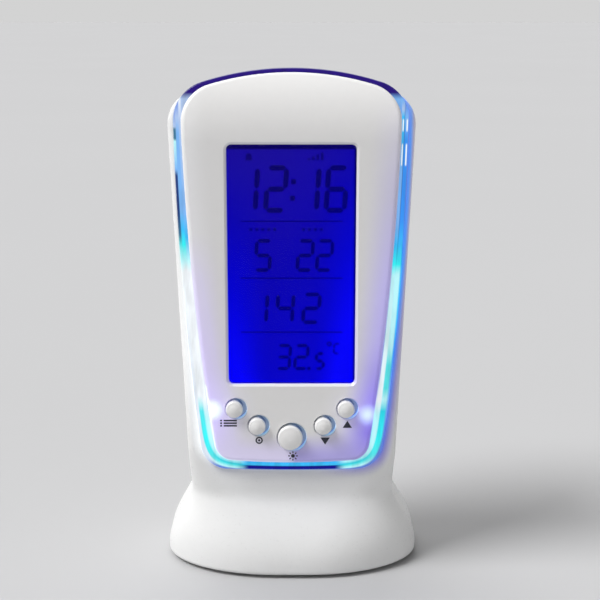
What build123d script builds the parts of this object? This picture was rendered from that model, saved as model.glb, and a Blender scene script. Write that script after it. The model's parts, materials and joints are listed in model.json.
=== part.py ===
from build123d import *
import os
from math import asin, cos, pi, radians, sin, sqrt, tan

# A free-standing digital desk clock: a white goblet-shaped shell on a flared foot, a front panel
# with a display and five buttons, and a clear light ring between the two. Millimetres.
# +X is the reader's right, -Y faces the reader, +Z is up, and the table is z = 0.

# Outer form of the shell
OVERALL_HEIGHT = 130.0      # table to the crest of the light ring
FOOT_WIDTH = 67.0
FOOT_DEPTH = 46.0
FOOT_EDGE_Z = 2.0           # the foot is widest from here down
FOOT_FLAT = 4.0             # half-length of the straights at the foot's four sides
RIM_Z = 0.8                 # lower rim of the shell, lifted by the feet
WAIST_WIDTH = 53.0
WAIST_Z = 20.5
BLEND_Z = 32.0              # above this the cross-section is a plain rounded block
HEAD_JOINT_Z = 36.0         # here the foot meets the straight-sided head
HEAD_WIDTH = 63.2           # at the shoulder
SHOULDER_DROP = 16.0        # shoulder below the crest
BACK_Y = 14.5
FRONT_CORNER = 1.6
BACK_CORNER = 8.0
LEAST_CORNER = 0.8          # inner corners are no sharper than this
CROWN_DROP = 1.3            # shell crown below the crest of the ring
CROWN_ARCH = 72.0
CROWN_CORNER = 8.5
RIM_ROUND = 1.0
WALL = 2.0
FRONT_WALL = 4.0

# Parting plane, which is the front of the light ring
PARTING_TILT = 5.0
PARTING_Y = -15.5
PARTING_Z = 28.0
RING_THICKNESS = 3.0
RING_PROUD = 1.0            # front of the ring in front of the shell rim
RING_FIT = 0.15
RING_BOTTOM = 27.2
RING_RIM = 1.9              # shell rim left at each side of the ring
RING_LOWER_WIDTH = 45.8
RING_BULGE = 1.5
RING_SAG = 0.6              # the lower run bows down this far in the middle
RING_ARCH = 75.0
RING_TOP_CORNER = 10.0
RING_LOWER_CORNER = 7.0
RING_EDGE = 0.5
RING_SHOWS = 2.3            # ring seen beside the panel at the shoulder
RING_SHOWS_LOW = 3.4        # ring seen beside the panel's lower corners
RING_SHOWS_TOP = 1.0
RING_UNDERLAP = 2.3         # ring hidden under the panel edge
SEAT_OPENING = 1.5          # shell opening inside the panel outline

# Front panel
FACE_TILT = 2.0
FACE_Y = -17.5              # face at the height of the panel's lower edge
PANEL_BOTTOM = 29.8
PANEL_ARCH = 73.0
PANEL_SAG = 0.9             # lower edge bows down this far in the middle
PANEL_TOP_CORNER = 9.0
PANEL_LOWER_CORNER = 5.0
PANEL_WALL = 2.0
PANEL_EDGE = 1.1
PROFILE_TAIL = 5.0          # side profile below the panel's lower edge, for the outline to trim
PROFILE_HEAD = 0.3          # and above its top
SHARP_BELOW = 0.3           # edges closer to the parting plane than this stay sharp
STRAIGHT_BACK = 18.0        # edges that run back within this angle stay sharp too
ROLL_DROP = 17.0            # the face starts to roll back this far below the crest
ROLL_RADIUS = 25.0
CHEEK_LOW = 6.1             # panel beside the window's lower end
CHEEK_HIGH = 10.9           # and at the start of the roll, where the screws stand
WINDOW_BOTTOM = 51.0
WINDOW_HEADROOM = 1.1       # window top below the start of the roll
WINDOW_CORNER = 1.3
WINDOW_BEVEL = 0.6
SNUG = 0.1                  # gap around pieces that drop in
CLEAR = 0.4                 # gap between pieces that pass each other

# Display stack, from the panel's inner face to the board
LENS_FLANGE = 0.8
LENS_RECESS = 0.7
LENS_MARGIN = 1.0
LCD_THICKNESS = 2.2
LCD_MARGIN = 1.4
LCD_LEDGE = 3.0
BACKLIGHT_THICKNESS = 3.0
FRAME_WALL = 1.1
BOARD_THICKNESS = 1.2
BOARD_MARGIN = 1.5          # board below the lowest switch

# Buttons: the holes' distance from the middle and height, and the caps in them
SIDE_BUTTON = (14.3, 44.5)
MID_BUTTON = (8.5, 40.0)
LIGHT_BUTTON_Z = 36.9
SMALL_CAP = 4.4
LIGHT_CAP = 6.4
CAP_GAP = 0.6               # between a centred cap and its hole
CAP_SHIFT = 0.4             # the row of caps sits this far left of its holes
HOLE_EDGE = 0.25            # bevel round each hole
CAP_PROUD = 1.8
CAP_EDGE = 0.6
CAP_DOME = 0.4              # crown of the cap above its edge
CAP_FLANGE = 0.9
CAP_FLANGE_LIP = 0.3        # flange beyond the hole's far side
STEM_LENGTH = 0.5
STEM_DIAMETER = 3.0
BUTTON_TRAVEL = 0.8
SWITCH_SIZE = 4.4
PLUNGER_DIAMETER = 2.4
PLUNGER_PROUD = 1.2
PLUNGER_FIT = 0.08
SWITCH_FLOOR = 0.4

# Batteries and their door
CELL_DIAMETER = 10.5
CELL_LENGTH = 44.5
CELL_COUNT = 3
CELL_GAP = 0.7
CELL_ROOM = 0.4
NUB_DIAMETER = 3.8
NUB_HEIGHT = 0.8
CELL_FLAT_EDGE = 0.4
CELL_NUB_EDGE = 0.7
SPRING_HEIGHT = 4.8
SPRING_WIRE = 0.6
SPRING_TURNS = 3
SPRING_LOW = 7.4            # outside diameter at the contact
SPRING_HIGH = 5.4           # outside diameter at the cell
CONTACT_THICKNESS = 0.4
CONTACT_WIDTH = 8.6
CONTACT_HEIGHT = 6.6
BAY_WALL = 1.2
DOOR_THICKNESS = 1.8
DOOR_LEDGE = 1.3
DOOR_GAP = 0.2
LUG_WIDTH = 3.6
LUG_RISE = 2.0              # lug on the door above its hinge line
LUG_HOOK = 0.8              # hook below the edge of the door recess
LUG_THICKNESS = 0.9
LUG_GAP = 0.4
LUG_SWING = 0.9             # room behind the hook as the door swings
NOTCH_RADIUS = 6.5
NOTCH_DEPTH = 1.2
GRIP_RIBS = 5
GRIP_PITCH = 1.7
GRIP_HALF = 6.0
GRIP_HEIGHT = 0.4
GRIP_START = 3.0            # first rib below the door's top
TAB_WIDTH = 2.0
TAB_REACH = 2.4             # contact tab in front of the bay
WIRE_DIAMETER = 1.1
WIRE_DROP = 3.5             # battery wires meet the board this far from their tabs' height
SOUNDER_WIRE_X = 2.5

# Fasteners
POST_DIAMETER = 6.4
BOSS_DIAMETER = 5.0
BOARD_BOSS_DIAMETER = 4.2
SCREW_DIAMETER = 2.2
SCREW_HEAD = 4.0
SCREW_HEAD_HEIGHT = 1.3
SCREW_HEAD_ROUND = 0.5
SCREW_FIT = 0.05            # around the shank in its pilot hole
SCREW_ROOM = 0.3            # around the shank and head elsewhere
CROSS_WIDTH = 0.6
CROSS_LENGTH = 2.4
CROSS_DEPTH = 0.6
BOSS_LENGTH = 6.0           # panel boss behind the parting plane
POST_FLOOR = 2.5
PANEL_SCREW_BITE = 5.5
HOLE_END = 0.4              # pilot hole beyond the screw's tip
BASE_SCREW_BITE = 7.0
POST_MARGIN = 1.3           # base post inside the shell wall
BOARD_SCREW_BITE = 3.5

# Foot
BASE_THICKNESS = 2.0
BASE_RECESS = 0.4           # underside above the shell rim
BASE_GAP = 0.2
FOOT_PAD_DIAMETER = 8.0
FOOT_PAD_SET = 0.6
FOOT_PAD_ROUND = 0.4
FOOT_PAD_X = 20.0
FOOT_PAD_Y = 10.5
SOUNDER_DIAMETER = 15.0
SOUNDER_THICKNESS = 0.3
CERAMIC_DIAMETER = 10.0
CERAMIC_THICKNESS = 0.25
SOUNDER_LIFT = 1.2
SOUNDER_STEP = 1.6          # ledge under the disc
SOUNDER_WALL = 1.0
SOUND_HOLE = 1.6
SOUND_RING = 4.0
SOUND_HOLES = 6             # in a ring round the middle one

# Small parts on the board
CHIP_LAMP_WIDTH = 3.2
CHIP_LAMP_HEIGHT = 1.4
LAMP_LENGTH = 0.7
LAMP_HEIGHT = 4.0
LAMP_FRONT = 4.1            # depth behind the face
LAMP_BODY = 2.7
LEG_HALF = 0.3
CHIP_DIAMETER = 12.0
CHIP_HEIGHT = 1.6
CHIP_ROUND = 1.1
CRYSTAL_DIAMETER = 2.0
CRYSTAL_LENGTH = 6.0
BEAD_DIAMETER = 2.4
BEAD_LEG = 0.8
BEAD_LIFT = 0.6

# Values that follow from the ones above
REACH = 120.0               # further than anything on the clock
FOOT_STEPS = 13             # cross-sections from the rim to the head
UP = (Align.CENTER, Align.CENTER, Align.MIN)
shoulder_z = OVERALL_HEIGHT - SHOULDER_DROP
roll_z = OVERALL_HEIGHT - ROLL_DROP
panel_top = OVERALL_HEIGHT - RING_SHOWS_TOP
window_top = roll_z - WINDOW_HEADROOM
window_height = window_top - WINDOW_BOTTOM
window_z = (window_top + WINDOW_BOTTOM) / 2
ring_upper_half = HEAD_WIDTH / 2 - RING_RIM
ring_lower_half = RING_LOWER_WIDTH / 2
panel_upper_half = ring_upper_half - RING_SHOWS
panel_lower_half = ring_lower_half - RING_SHOWS_LOW


def panel_half(z):
    """Half-width of the panel at a height, away from its corners."""
    corner = panel_top - (PANEL_ARCH - sqrt(PANEL_ARCH**2 - panel_upper_half**2))
    low = PANEL_BOTTOM + PANEL_SAG
    share = (z - low) / (corner - low)
    bow = RING_BULGE * (1 - (2 * share - 1) ** 2)
    return panel_lower_half + share * (panel_upper_half - panel_lower_half) + bow


window_width = 2 * min(panel_half(WINDOW_BOTTOM) - CHEEK_LOW, panel_half(roll_z) - CHEEK_HIGH)
lens_back = PANEL_WALL + LENS_FLANGE
lcd_back = lens_back + LCD_THICKNESS
board_front = lcd_back + BACKLIGHT_THICKNESS
board_back = board_front + BOARD_THICKNESS
lcd_half = window_width / 2 + LCD_MARGIN
lcd_bottom = WINDOW_BOTTOM - LCD_MARGIN
lcd_top = window_top + LCD_MARGIN + LCD_LEDGE
frame_half = lcd_half + SNUG + FRAME_WALL
frame_bottom = lcd_bottom - SNUG - FRAME_WALL
frame_top = lcd_top + SNUG + FRAME_WALL
board_half = frame_half + CLEAR
board_boss_z = frame_top + CLEAR + BOARD_BOSS_DIAMETER / 2
board_top = board_boss_z + BOARD_BOSS_DIAMETER / 2 + CLEAR
plunger_top = PANEL_WALL + CAP_FLANGE + STEM_LENGTH
switch_top = plunger_top + PLUNGER_PROUD
bay_half = (CELL_COUNT * CELL_DIAMETER + (CELL_COUNT - 1) * CELL_GAP) / 2 + CELL_ROOM
bay_rise = (CELL_LENGTH + SPRING_HEIGHT) / 2 + CONTACT_THICKNESS
bay_z = (WAIST_Z + OVERALL_HEIGHT) / 2
door_inner_y = BACK_Y - DOOR_THICKNESS
cell_y = door_inner_y - CELL_ROOM - CELL_DIAMETER / 2
bay_floor_y = cell_y - CELL_DIAMETER / 2 - CELL_ROOM
recess_half = bay_half + DOOR_LEDGE
recess_rise = bay_rise + DOOR_LEDGE
recess_low = bay_z - recess_rise
hinge_y = BACK_Y - DOOR_THICKNESS / 2
hinge_z = recess_low + DOOR_GAP + DOOR_THICKNESS / 2
cell_pitch = CELL_DIAMETER + CELL_GAP
contact_low = bay_z - bay_rise + CONTACT_THICKNESS
contact_high = bay_z + bay_rise - CONTACT_THICKNESS
base_bottom = RIM_Z + BASE_RECESS
base_top = base_bottom + BASE_THICKNESS
disc_z = base_top + SOUNDER_LIFT
pilot = SCREW_DIAMETER / 2 + SCREW_FIT
free_hole = SCREW_DIAMETER / 2 + SCREW_ROOM
head_hole = SCREW_HEAD / 2 + SCREW_ROOM
BUTTONS = {
    "mode_button": (-SIDE_BUTTON[0], SIDE_BUTTON[1], SMALL_CAP),
    "set_button": (-MID_BUTTON[0], MID_BUTTON[1], SMALL_CAP),
    "light_button": (0.0, LIGHT_BUTTON_Z, LIGHT_CAP),
    "down_button": (MID_BUTTON[0], MID_BUTTON[1], SMALL_CAP),
    "up_button": (SIDE_BUTTON[0], SIDE_BUTTON[1], SMALL_CAP),
}


def tilted(y, z, degrees):
    """Plane that faces the reader, leaning back by an angle, through a point of the middle."""
    t = radians(degrees)
    return Plane(origin=(0, y, z), x_dir=(1, 0, 0), z_dir=(0, -cos(t), sin(t)))


face = tilted(FACE_Y, PANEL_BOTTOM, FACE_TILT)
parting = tilted(PARTING_Y, PARTING_Z, PARTING_TILT)


def parting_y(z):
    return PARTING_Y + (z - PARTING_Z) * tan(radians(PARTING_TILT))


def face_y(z):
    return FACE_Y + (z - PANEL_BOTTOM) * tan(radians(FACE_TILT))


def on_face(x, z, depth=0.0):
    """Place on the face; depth runs inwards."""
    return face.location * Pos(x, (z - PANEL_BOTTOM) / cos(radians(FACE_TILT)), -depth)


def face_box(half, low, high, front, back, x=0.0):
    """Block parallel to the face, between two heights and two depths."""
    rise = (high - low) / cos(radians(FACE_TILT))
    return on_face(x, (low + high) / 2, back) * Box(2 * half, rise, back - front, align=UP)


def face_rod(x, z, radius, front, back):
    return on_face(x, z, back) * Cylinder(radius, back - front, align=UP)


def rod_y(x, z, radius, front, back):
    """Rod along Y between two depths."""
    return Pos(x, front, z) * Rot(-90, 0, 0) * Cylinder(radius, back - front, align=UP)


def block(x0, x1, y0, y1, z0, z1):
    middle = Pos((x0 + x1) / 2, (y0 + y1) / 2, (z0 + z1) / 2)
    return middle * Box(x1 - x0, y1 - y0, z1 - z0)


def group(solids):
    return Compound(children=[s if isinstance(s, Solid) else s.solid() for s in solids])


def prism(outline):
    """Front-view outline carried through the whole depth."""
    return extrude(Plane.XZ * outline, amount=REACH, both=True)


def slab(front, back):
    """Space between two planes parallel to the parting plane; depths run inwards."""
    return extrude(parting.offset(-back) * Rectangle(3 * REACH, 3 * REACH), amount=back - front)


def shield(top, arch, upper_half, lower_half, bottom, sag, top_corner, lower_corner):
    """Front-view outline with an arched top, gently bowed sides that narrow downwards, and a
    lower edge that sags in the middle."""
    corner = top - (arch - sqrt(arch**2 - upper_half**2))
    low = bottom + sag
    bow = ((upper_half + lower_half) / 2 + RING_BULGE, (corner + low) / 2)
    edges = [
        ThreePointArc((-lower_half, low), (0, bottom), (lower_half, low)),
        ThreePointArc((lower_half, low), bow, (upper_half, corner)),
        ThreePointArc((upper_half, corner), (0, top), (-upper_half, corner)),
        ThreePointArc((-upper_half, corner), (-bow[0], bow[1]), (-lower_half, low)),
    ]
    outline = make_face(edges)
    outline = fillet(outline.vertices().group_by(Axis.Y)[-1], top_corner)
    return fillet(outline.vertices().group_by(Axis.Y)[0], lower_corner)


def panel_outline(inset=0.0):
    return shield(
        panel_top - inset, PANEL_ARCH - inset, panel_upper_half - inset, panel_lower_half - inset,
        PANEL_BOTTOM + inset, PANEL_SAG, PANEL_TOP_CORNER - inset, PANEL_LOWER_CORNER - inset,
    )


def ring_outline(grow=0.0):
    return shield(
        OVERALL_HEIGHT + grow, RING_ARCH + grow, ring_upper_half + grow, ring_lower_half + grow,
        RING_BOTTOM - grow, RING_SAG, RING_TOP_CORNER + grow, RING_LOWER_CORNER + grow,
    )


def flare(z):
    """How far the foot has spread: none at the waist, all of it at the foot edge."""
    share = min(max((z - FOOT_EDGE_Z) / (WAIST_Z - FOOT_EDGE_Z), 0.0), 1.0)
    return cos(pi / 2 * share) ** 1.5


def roundness(z):
    """How far the cross-section has turned from a rounded block into an ellipse."""
    share = min(max((z - FOOT_EDGE_Z) / (BLEND_Z - FOOT_EDGE_Z), 0.0), 1.0)
    return cos(pi / 2 * share) ** 1.3


def side_half(z):
    slope = (HEAD_WIDTH - WAIST_WIDTH) / 2 / (shoulder_z - WAIST_Z)
    return WAIST_WIDTH / 2 + slope * (z - WAIST_Z)


def rim_y(z):
    return parting_y(z) + RING_PROUD / cos(radians(PARTING_TILT))


def section(z, wall=0.0):
    """Cross-section of the shell at a height, drawn in by its wall."""
    spread = flare(z)
    front_wall = wall + (FRONT_WALL - WALL) * (1 - spread) if wall else 0.0
    half = side_half(z) + spread * (FOOT_WIDTH / 2 - side_half(FOOT_EDGE_Z)) - wall
    front = rim_y(z) * (1 - spread) - FOOT_DEPTH / 2 * spread + front_wall
    back = BACK_Y + spread * (FOOT_DEPTH / 2 - BACK_Y) - wall
    turn = roundness(z)
    full_x = half - FOOT_FLAT
    full_y = (back - front) / 2 - FOOT_FLAT
    front_round = max(FRONT_CORNER - wall, LEAST_CORNER) * (1 - turn)
    back_round = max(BACK_CORNER - wall, LEAST_CORNER) * (1 - turn)
    fx, fy = front_round + full_x * turn, front_round + full_y * turn
    bx, by = back_round + full_x * turn, back_round + full_y * turn
    edges = [
        Line((fx - half, front), (half - fx, front)),
        EllipticalCenterArc((half - fx, front + fy), fx, fy, 270, arc_size=90),
        Line((half, front + fy), (half, back - by)),
        EllipticalCenterArc((half - bx, back - by), bx, by, 0, arc_size=90),
        Line((half - bx, back), (bx - half, back)),
        EllipticalCenterArc((bx - half, back - by), bx, by, 90, arc_size=90),
        Line((-half, back - by), (-half, front + fy)),
        EllipticalCenterArc((fx - half, front + fy), fx, fy, 180, arc_size=90),
    ]
    return Pos(0, 0, z) * make_face(edges)


def crown(wall):
    """Front-view outline of the head, drawn in by its wall."""
    top = OVERALL_HEIGHT - CROWN_DROP - wall
    arch = CROWN_ARCH - wall
    half = side_half(shoulder_z) - wall
    low_half = side_half(BLEND_Z) - wall
    corner = top - (arch - sqrt(arch**2 - half**2))
    edges = [
        Line((-low_half, BLEND_Z), (low_half, BLEND_Z)),
        Line((low_half, BLEND_Z), (half, corner)),
        ThreePointArc((half, corner), (0, top), (-half, corner)),
        Line((-half, corner), (-low_half, BLEND_Z)),
    ]
    outline = make_face(edges)
    return fillet(outline.vertices().group_by(Axis.Y)[-1], CROWN_CORNER - wall)


def edges_on(form, plane, above):
    """Edges of a form that lie in a plane, without those at its lower end."""
    found = []
    for edge in form.edges():
        spots = [edge.position_at(t) for t in (0.0, 0.5, 1.0)]
        flat = all(abs(plane.to_local_coords(p).Z) < 0.01 for p in spots)
        if flat and spots[1].Z > above + 0.01:
            found.append(edge)
    return found


def head_block(wall):
    """Straight-sided head from the joint with the foot up to the crown, edges rounded."""
    front = RING_PROUD + (FRONT_WALL if wall else 0.0)
    back = BACK_Y - wall
    form = prism(crown(wall)) & slab(front, 2 * REACH)
    form = form & block(-REACH, REACH, -REACH, back, HEAD_JOINT_Z, 2 * REACH)
    back_plane = Plane(origin=(0, back, 0), z_dir=(0, 1, 0))
    form = fillet(edges_on(form, back_plane, HEAD_JOINT_Z), BACK_CORNER - wall)
    rim = edges_on(form, parting.offset(-front), HEAD_JOINT_Z)
    return fillet(rim, max(FRONT_CORNER - wall, LEAST_CORNER))


def goblet(bottom, wall=0.0):
    """Solid form of the shell: a smooth foot and waist under the head."""
    head = head_block(wall)
    joint = head.faces().sort_by(Axis.Z)[0]
    rise = HEAD_JOINT_Z - bottom
    heights = [bottom + rise * n / FOOT_STEPS for n in range(FOOT_STEPS)]
    foot = loft([section(z, wall) for z in heights] + [joint])
    return foot + head


def panel_screw_places():
    """Where the panel is screwed to the shell: x and z of four bosses."""
    lower_z = PANEL_BOTTOM + RING_UNDERLAP + BOSS_DIAMETER / 2 + 2 * CLEAR
    margin = RING_UNDERLAP + BOSS_DIAMETER / 2 + CLEAR
    lower_x = panel_half(lower_z) - margin - 2 * CLEAR
    upper_x = panel_half(roll_z) - margin
    return [(side * x, z) for side in (-1, 1) for x, z in ((upper_x, roll_z), (lower_x, lower_z))]


def boss_end(z):
    return parting_y(z) + BOSS_LENGTH


def flange_radius(cap):
    """Flange that covers the hole on its wider side too."""
    return cap / 2 + CAP_GAP + CAP_SHIFT + CAP_FLANGE_LIP


def cap_place(name):
    """Middle of a cap and its diameter."""
    x, z, cap = BUTTONS[name]
    return x - CAP_SHIFT, z, cap


def board_screw_places():
    """Where the board is screwed to the panel: x and z of three bosses."""
    low = (frame_bottom + LIGHT_BUTTON_Z + flange_radius(LIGHT_CAP)) / 2
    return [(-board_half / 2, board_boss_z), (board_half / 2, board_boss_z), (0.0, low)]


def base_screw_places():
    """Where the base plate is screwed to the shell: x and y of four posts."""
    side = WAIST_WIDTH / 2 - WALL
    end = FOOT_DEPTH / 2 - WALL - POST_MARGIN - POST_DIAMETER / 2
    return [(-side, 0.0), (side, 0.0), (0.0, -end), (0.0, end)]


def body_shell():
    outside = goblet(RIM_Z)
    rim = [e for e in outside.edges() if e.position_at(0.5).Z < RIM_Z + 0.05]
    shell = fillet(rim, RIM_ROUND) - goblet(RIM_Z - 1, WALL)
    shell += battery_bay()
    for x, z in panel_screw_places():
        shell += rod_y(x, z, POST_DIAMETER / 2, boss_end(z), BACK_Y - WALL / 2)
    for x, y in base_screw_places():
        post = Pos(x, y, base_top) * Cylinder(POST_DIAMETER / 2, WAIST_Z - base_top, align=UP)
        shell += post & outside
    shell -= prism(ring_outline(RING_FIT)) & slab(-REACH, RING_THICKNESS)
    shell -= prism(panel_outline(SEAT_OPENING)) & slab(-REACH, RING_PROUD + FRONT_WALL + CLEAR)
    shell -= bay_space()
    for x, z in panel_screw_places():
        seat = boss_end(z) + POST_FLOOR
        shell -= rod_y(x, z, free_hole, boss_end(z) - 1, seat + 1)
        shell -= rod_y(x, z, head_hole, seat, REACH)
    for x, y in base_screw_places():
        hole = Cylinder(pilot, BASE_SCREW_BITE + 2, align=UP)
        shell -= Pos(x, y, base_top - 1) * hole
    return shell


def battery_bay():
    """Solid block that the bay is hollowed from, inside the back of the shell."""
    half = recess_half + BAY_WALL
    rise = recess_rise + BAY_WALL
    front = bay_floor_y - BAY_WALL
    return block(-half, half, front, BACK_Y - WALL / 2, bay_z - rise, bay_z + rise)


def bay_space():
    """Everything cut from the back for cells, door, lugs, finger notch and contact tabs."""
    space = block(-bay_half, bay_half, bay_floor_y, REACH, bay_z - bay_rise, bay_z + bay_rise)
    space += block(-recess_half, recess_half, door_inner_y, REACH, recess_low, bay_z + recess_rise)
    space += rod_y(0, bay_z + recess_rise, NOTCH_RADIUS, BACK_Y - NOTCH_DEPTH, REACH)
    lug_half = LUG_WIDTH / 2 + LUG_GAP
    deep = door_inner_y - LUG_GAP - LUG_THICKNESS - LUG_SWING
    for x in lug_places():
        low = recess_low - LUG_HOOK - LUG_GAP
        space += block(x - lug_half, x + lug_half, deep, door_inner_y, low, contact_low)
    tab_half = TAB_WIDTH / 2 + CLEAR
    for x, z in tab_places():
        slot = CONTACT_THICKNESS + CLEAR
        space += block(x - tab_half, x + tab_half, -REACH / 8, cell_y, z - slot, z + slot)
    return space


def lug_places():
    return [-cell_pitch / 2, cell_pitch / 2]


def tab_places():
    """Middle of each contact tab: cell's x and contact's z."""
    half = CONTACT_THICKNESS / 2
    return [(-cell_pitch, contact_high + half), (cell_pitch, contact_low - half)]


def battery_door():
    width = recess_half - DOOR_GAP
    top = bay_z + recess_rise - DOOR_GAP
    door = block(-width, width, door_inner_y, BACK_Y, hinge_z, top)
    edge = Rot(0, 90, 0) * Cylinder(DOOR_THICKNESS / 2, 2 * width)
    door += Pos(0, hinge_y, hinge_z) * edge
    back = door_inner_y - LUG_GAP
    front = back - LUG_THICKNESS
    for x in lug_places():
        side = (x - LUG_WIDTH / 2, x + LUG_WIDTH / 2)
        door += block(*side, front, hinge_y, hinge_z, hinge_z + LUG_RISE)
        door += block(*side, front, back, recess_low - LUG_HOOK, hinge_z + LUG_RISE)
    for n in range(GRIP_RIBS):
        z = top - GRIP_START - n * GRIP_PITCH
        door += Pos(0, BACK_Y, z) * Rot(0, 90, 0) * Cylinder(GRIP_HEIGHT, 2 * GRIP_HALF)
    return door


def cell(upright):
    """One battery cell along Z, from its flat end at 0 to its nub."""
    r = CELL_DIAMETER / 2
    can = CELL_LENGTH - NUB_HEIGHT
    nub = NUB_DIAMETER / 2
    flat, neck = CELL_FLAT_EDGE, CELL_NUB_EDGE
    outline = Polyline(
        (0, 0), (r - flat, 0), (r, flat), (r, can - neck), (r - neck, can), (nub, can),
        (nub, CELL_LENGTH), (0, CELL_LENGTH), close=True,
    )
    form = revolve(Plane.XZ * make_face(outline), Axis.Z)
    return form if upright else Pos(0, 0, CELL_LENGTH) * Rot(180, 0, 0) * form


def cell_rows():
    """Each cell's x, and whether its nub is up; neighbours alternate."""
    middle = (CELL_COUNT - 1) / 2
    return [((n - middle) * cell_pitch, n % 2 == 0) for n in range(CELL_COUNT)]


def battery(n):
    x, upright = cell_rows()[n]
    low = contact_high - CELL_LENGTH if upright else contact_low
    return Pos(x, cell_y, low) * cell(upright)


def battery_contacts():
    """Four plates on the bay's ends: two single ones with tabs, two that bridge two cells."""
    plates = []
    half = CONTACT_WIDTH / 2
    rise = CONTACT_HEIGHT / 2
    rows = [x for x, upright in cell_rows()]
    spans = [
        (rows[0], rows[1], contact_low - CONTACT_THICKNESS, contact_low, False),
        (rows[2], rows[2], contact_low - CONTACT_THICKNESS, contact_low, True),
        (rows[0], rows[0], contact_high, contact_high + CONTACT_THICKNESS, True),
        (rows[1], rows[2], contact_high, contact_high + CONTACT_THICKNESS, False),
    ]
    for x0, x1, z0, z1, tab in spans:
        plate = block(x0 - half, x1 + half, cell_y - rise, cell_y + rise, z0, z1)
        if tab:
            reach = bay_floor_y - BAY_WALL - TAB_REACH
            plate += block(x0 - TAB_WIDTH / 2, x0 + TAB_WIDTH / 2, reach, cell_y, z0, z1)
        plates.append(plate)
    return group(plates)


def biarc(p, t, q, u):
    """Two arcs from point p along t to point q along u, meeting smoothly."""
    v = q - p
    s = t + u
    a = 2 * (1 - t.dot(u))
    b = v.dot(s)
    c = v.dot(v)
    d = c / (2 * b) if a < 1e-6 else (-b + sqrt(b * b + a * c)) / a
    first = p + t * d
    second = q - u * d
    middle = (first + second) * 0.5
    turn = (second - first).normalized()
    return [TangentArc(p, middle, tangent=t), TangentArc(middle, q, tangent=turn)]


def tube(edges, start, along, diameter):
    profile = Plane(origin=start, z_dir=along) * Circle(diameter / 2)
    return sweep(profile, path=Wire(edges))


def coil(height):
    """Tapered spring along Z from 0 up, swept on biarcs of a quarter turn."""
    wire = SPRING_WIRE / 2
    low = SPRING_LOW / 2 - wire
    high = SPRING_HIGH / 2 - wire
    quarters = 4 * SPRING_TURNS
    rise = (height - SPRING_WIRE) / quarters
    points = []
    for n in range(quarters + 1):
        angle = n * pi / 2
        r = low + (high - low) * n / quarters
        points.append(Vector(r * cos(angle), r * sin(angle), wire + n * rise))
    slants = []
    for n in range(quarters + 1):
        angle = n * pi / 2
        r = low + (high - low) * n / quarters
        shrink = (high - low) / quarters / (pi / 2)
        climb = rise / (pi / 2)
        slant = Vector(shrink * cos(angle) - r * sin(angle),
                       shrink * sin(angle) + r * cos(angle), climb)
        slants.append(slant.normalized())
    path = []
    for n in range(quarters):
        path += biarc(points[n], slants[n], points[n + 1], slants[n + 1])
    gap = min((points[n + 4] - points[n]).length for n in range(quarters - 3)) - SPRING_WIRE
    print("spring: least gap between turns", round(gap, 2))
    return tube(path, points[0], slants[0], SPRING_WIRE)


def battery_springs():
    spring = coil(SPRING_HEIGHT)
    coils = []
    for x, upright in cell_rows():
        if upright:
            coils.append(Pos(x, cell_y, contact_low) * spring)
        else:
            coils.append(Pos(x, cell_y, contact_high) * Rot(180, 0, 0) * spring)
    return group(coils)


def light_ring():
    ring = prism(ring_outline()) & slab(0, RING_THICKNESS)
    ring = fillet(edges_on(ring, parting, -REACH), RING_EDGE)
    return ring - prism(panel_outline(RING_UNDERLAP))


def face_profile(depth, behind):
    """Side view of the panel: flat face, then the roll at the top, closed along the parting."""
    t = radians(FACE_TILT)
    inward = Vector(cos(t), -sin(t))
    along = Vector(sin(t), cos(t))
    centre = Vector(face_y(roll_z), roll_z) + inward * ROLL_RADIUS
    radius = ROLL_RADIUS - depth
    start = centre - inward * radius
    low = start - along * (roll_z - PANEL_BOTTOM + PROFILE_TAIL)
    top = panel_top - depth + PROFILE_HEAD
    end_angle = asin((top - centre.Y) / radius)
    mid_angle = (end_angle + t) / 2
    end = centre + Vector(-cos(end_angle), sin(end_angle)) * radius
    mid = centre + Vector(-cos(mid_angle), sin(mid_angle)) * radius
    back_top = (parting_y(end.Y) + behind, end.Y)
    back_low = (parting_y(low.Y) + behind, low.Y)
    edges = [
        Line(low, start),
        ThreePointArc(start, mid, end),
        Polyline(end, back_top, back_low, low),
    ]
    return extrude(Plane.YZ * make_face(edges), amount=REACH, both=True)


def front_edges(form):
    """Edges round the face, without those on the parting plane and those that run straight back."""
    found = []
    for edge in form.edges():
        ahead = parting.to_local_coords(edge.position_at(0.5)).Z
        slant = sqrt(1 - edge.tangent_at(0.5).Y ** 2)
        if ahead > SHARP_BELOW and slant > sin(radians(STRAIGHT_BACK)):
            found.append(edge)
    return found


def front_panel():
    form = prism(panel_outline()) & face_profile(0, 0)
    panel = fillet(front_edges(form), PANEL_EDGE)
    panel -= prism(panel_outline(PANEL_WALL)) & face_profile(PANEL_WALL, BOSS_LENGTH)
    for x, z in panel_screw_places():
        panel += rod_y(x, z, BOSS_DIAMETER / 2, face_y(z) + PANEL_WALL / 2, boss_end(z))
        deep = boss_end(z) - PANEL_SCREW_BITE - HOLE_END
        panel -= rod_y(x, z, pilot, max(deep, face_y(z) + PANEL_WALL), boss_end(z) + 1)
    for x, z in board_screw_places():
        boss = face_rod(x, z, BOARD_BOSS_DIAMETER / 2, PANEL_WALL / 2, board_front)
        panel += boss & form_behind_face()
        panel -= face_rod(x, z, pilot, board_front - BOARD_SCREW_BITE - HOLE_END, board_front + 1)
    panel -= window_cut()
    for x, z, cap in BUTTONS.values():
        hole = cap / 2 + CAP_GAP
        panel -= face_rod(x, z, hole, -REACH, PANEL_WALL + 1)
        panel -= on_face(x, z, HOLE_EDGE) * Cone(hole, hole + HOLE_EDGE, HOLE_EDGE, align=UP)
    return panel


def form_behind_face():
    """Space behind the middle of the panel's front wall."""
    return face_profile(PANEL_WALL / 2, BOSS_LENGTH)


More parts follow.
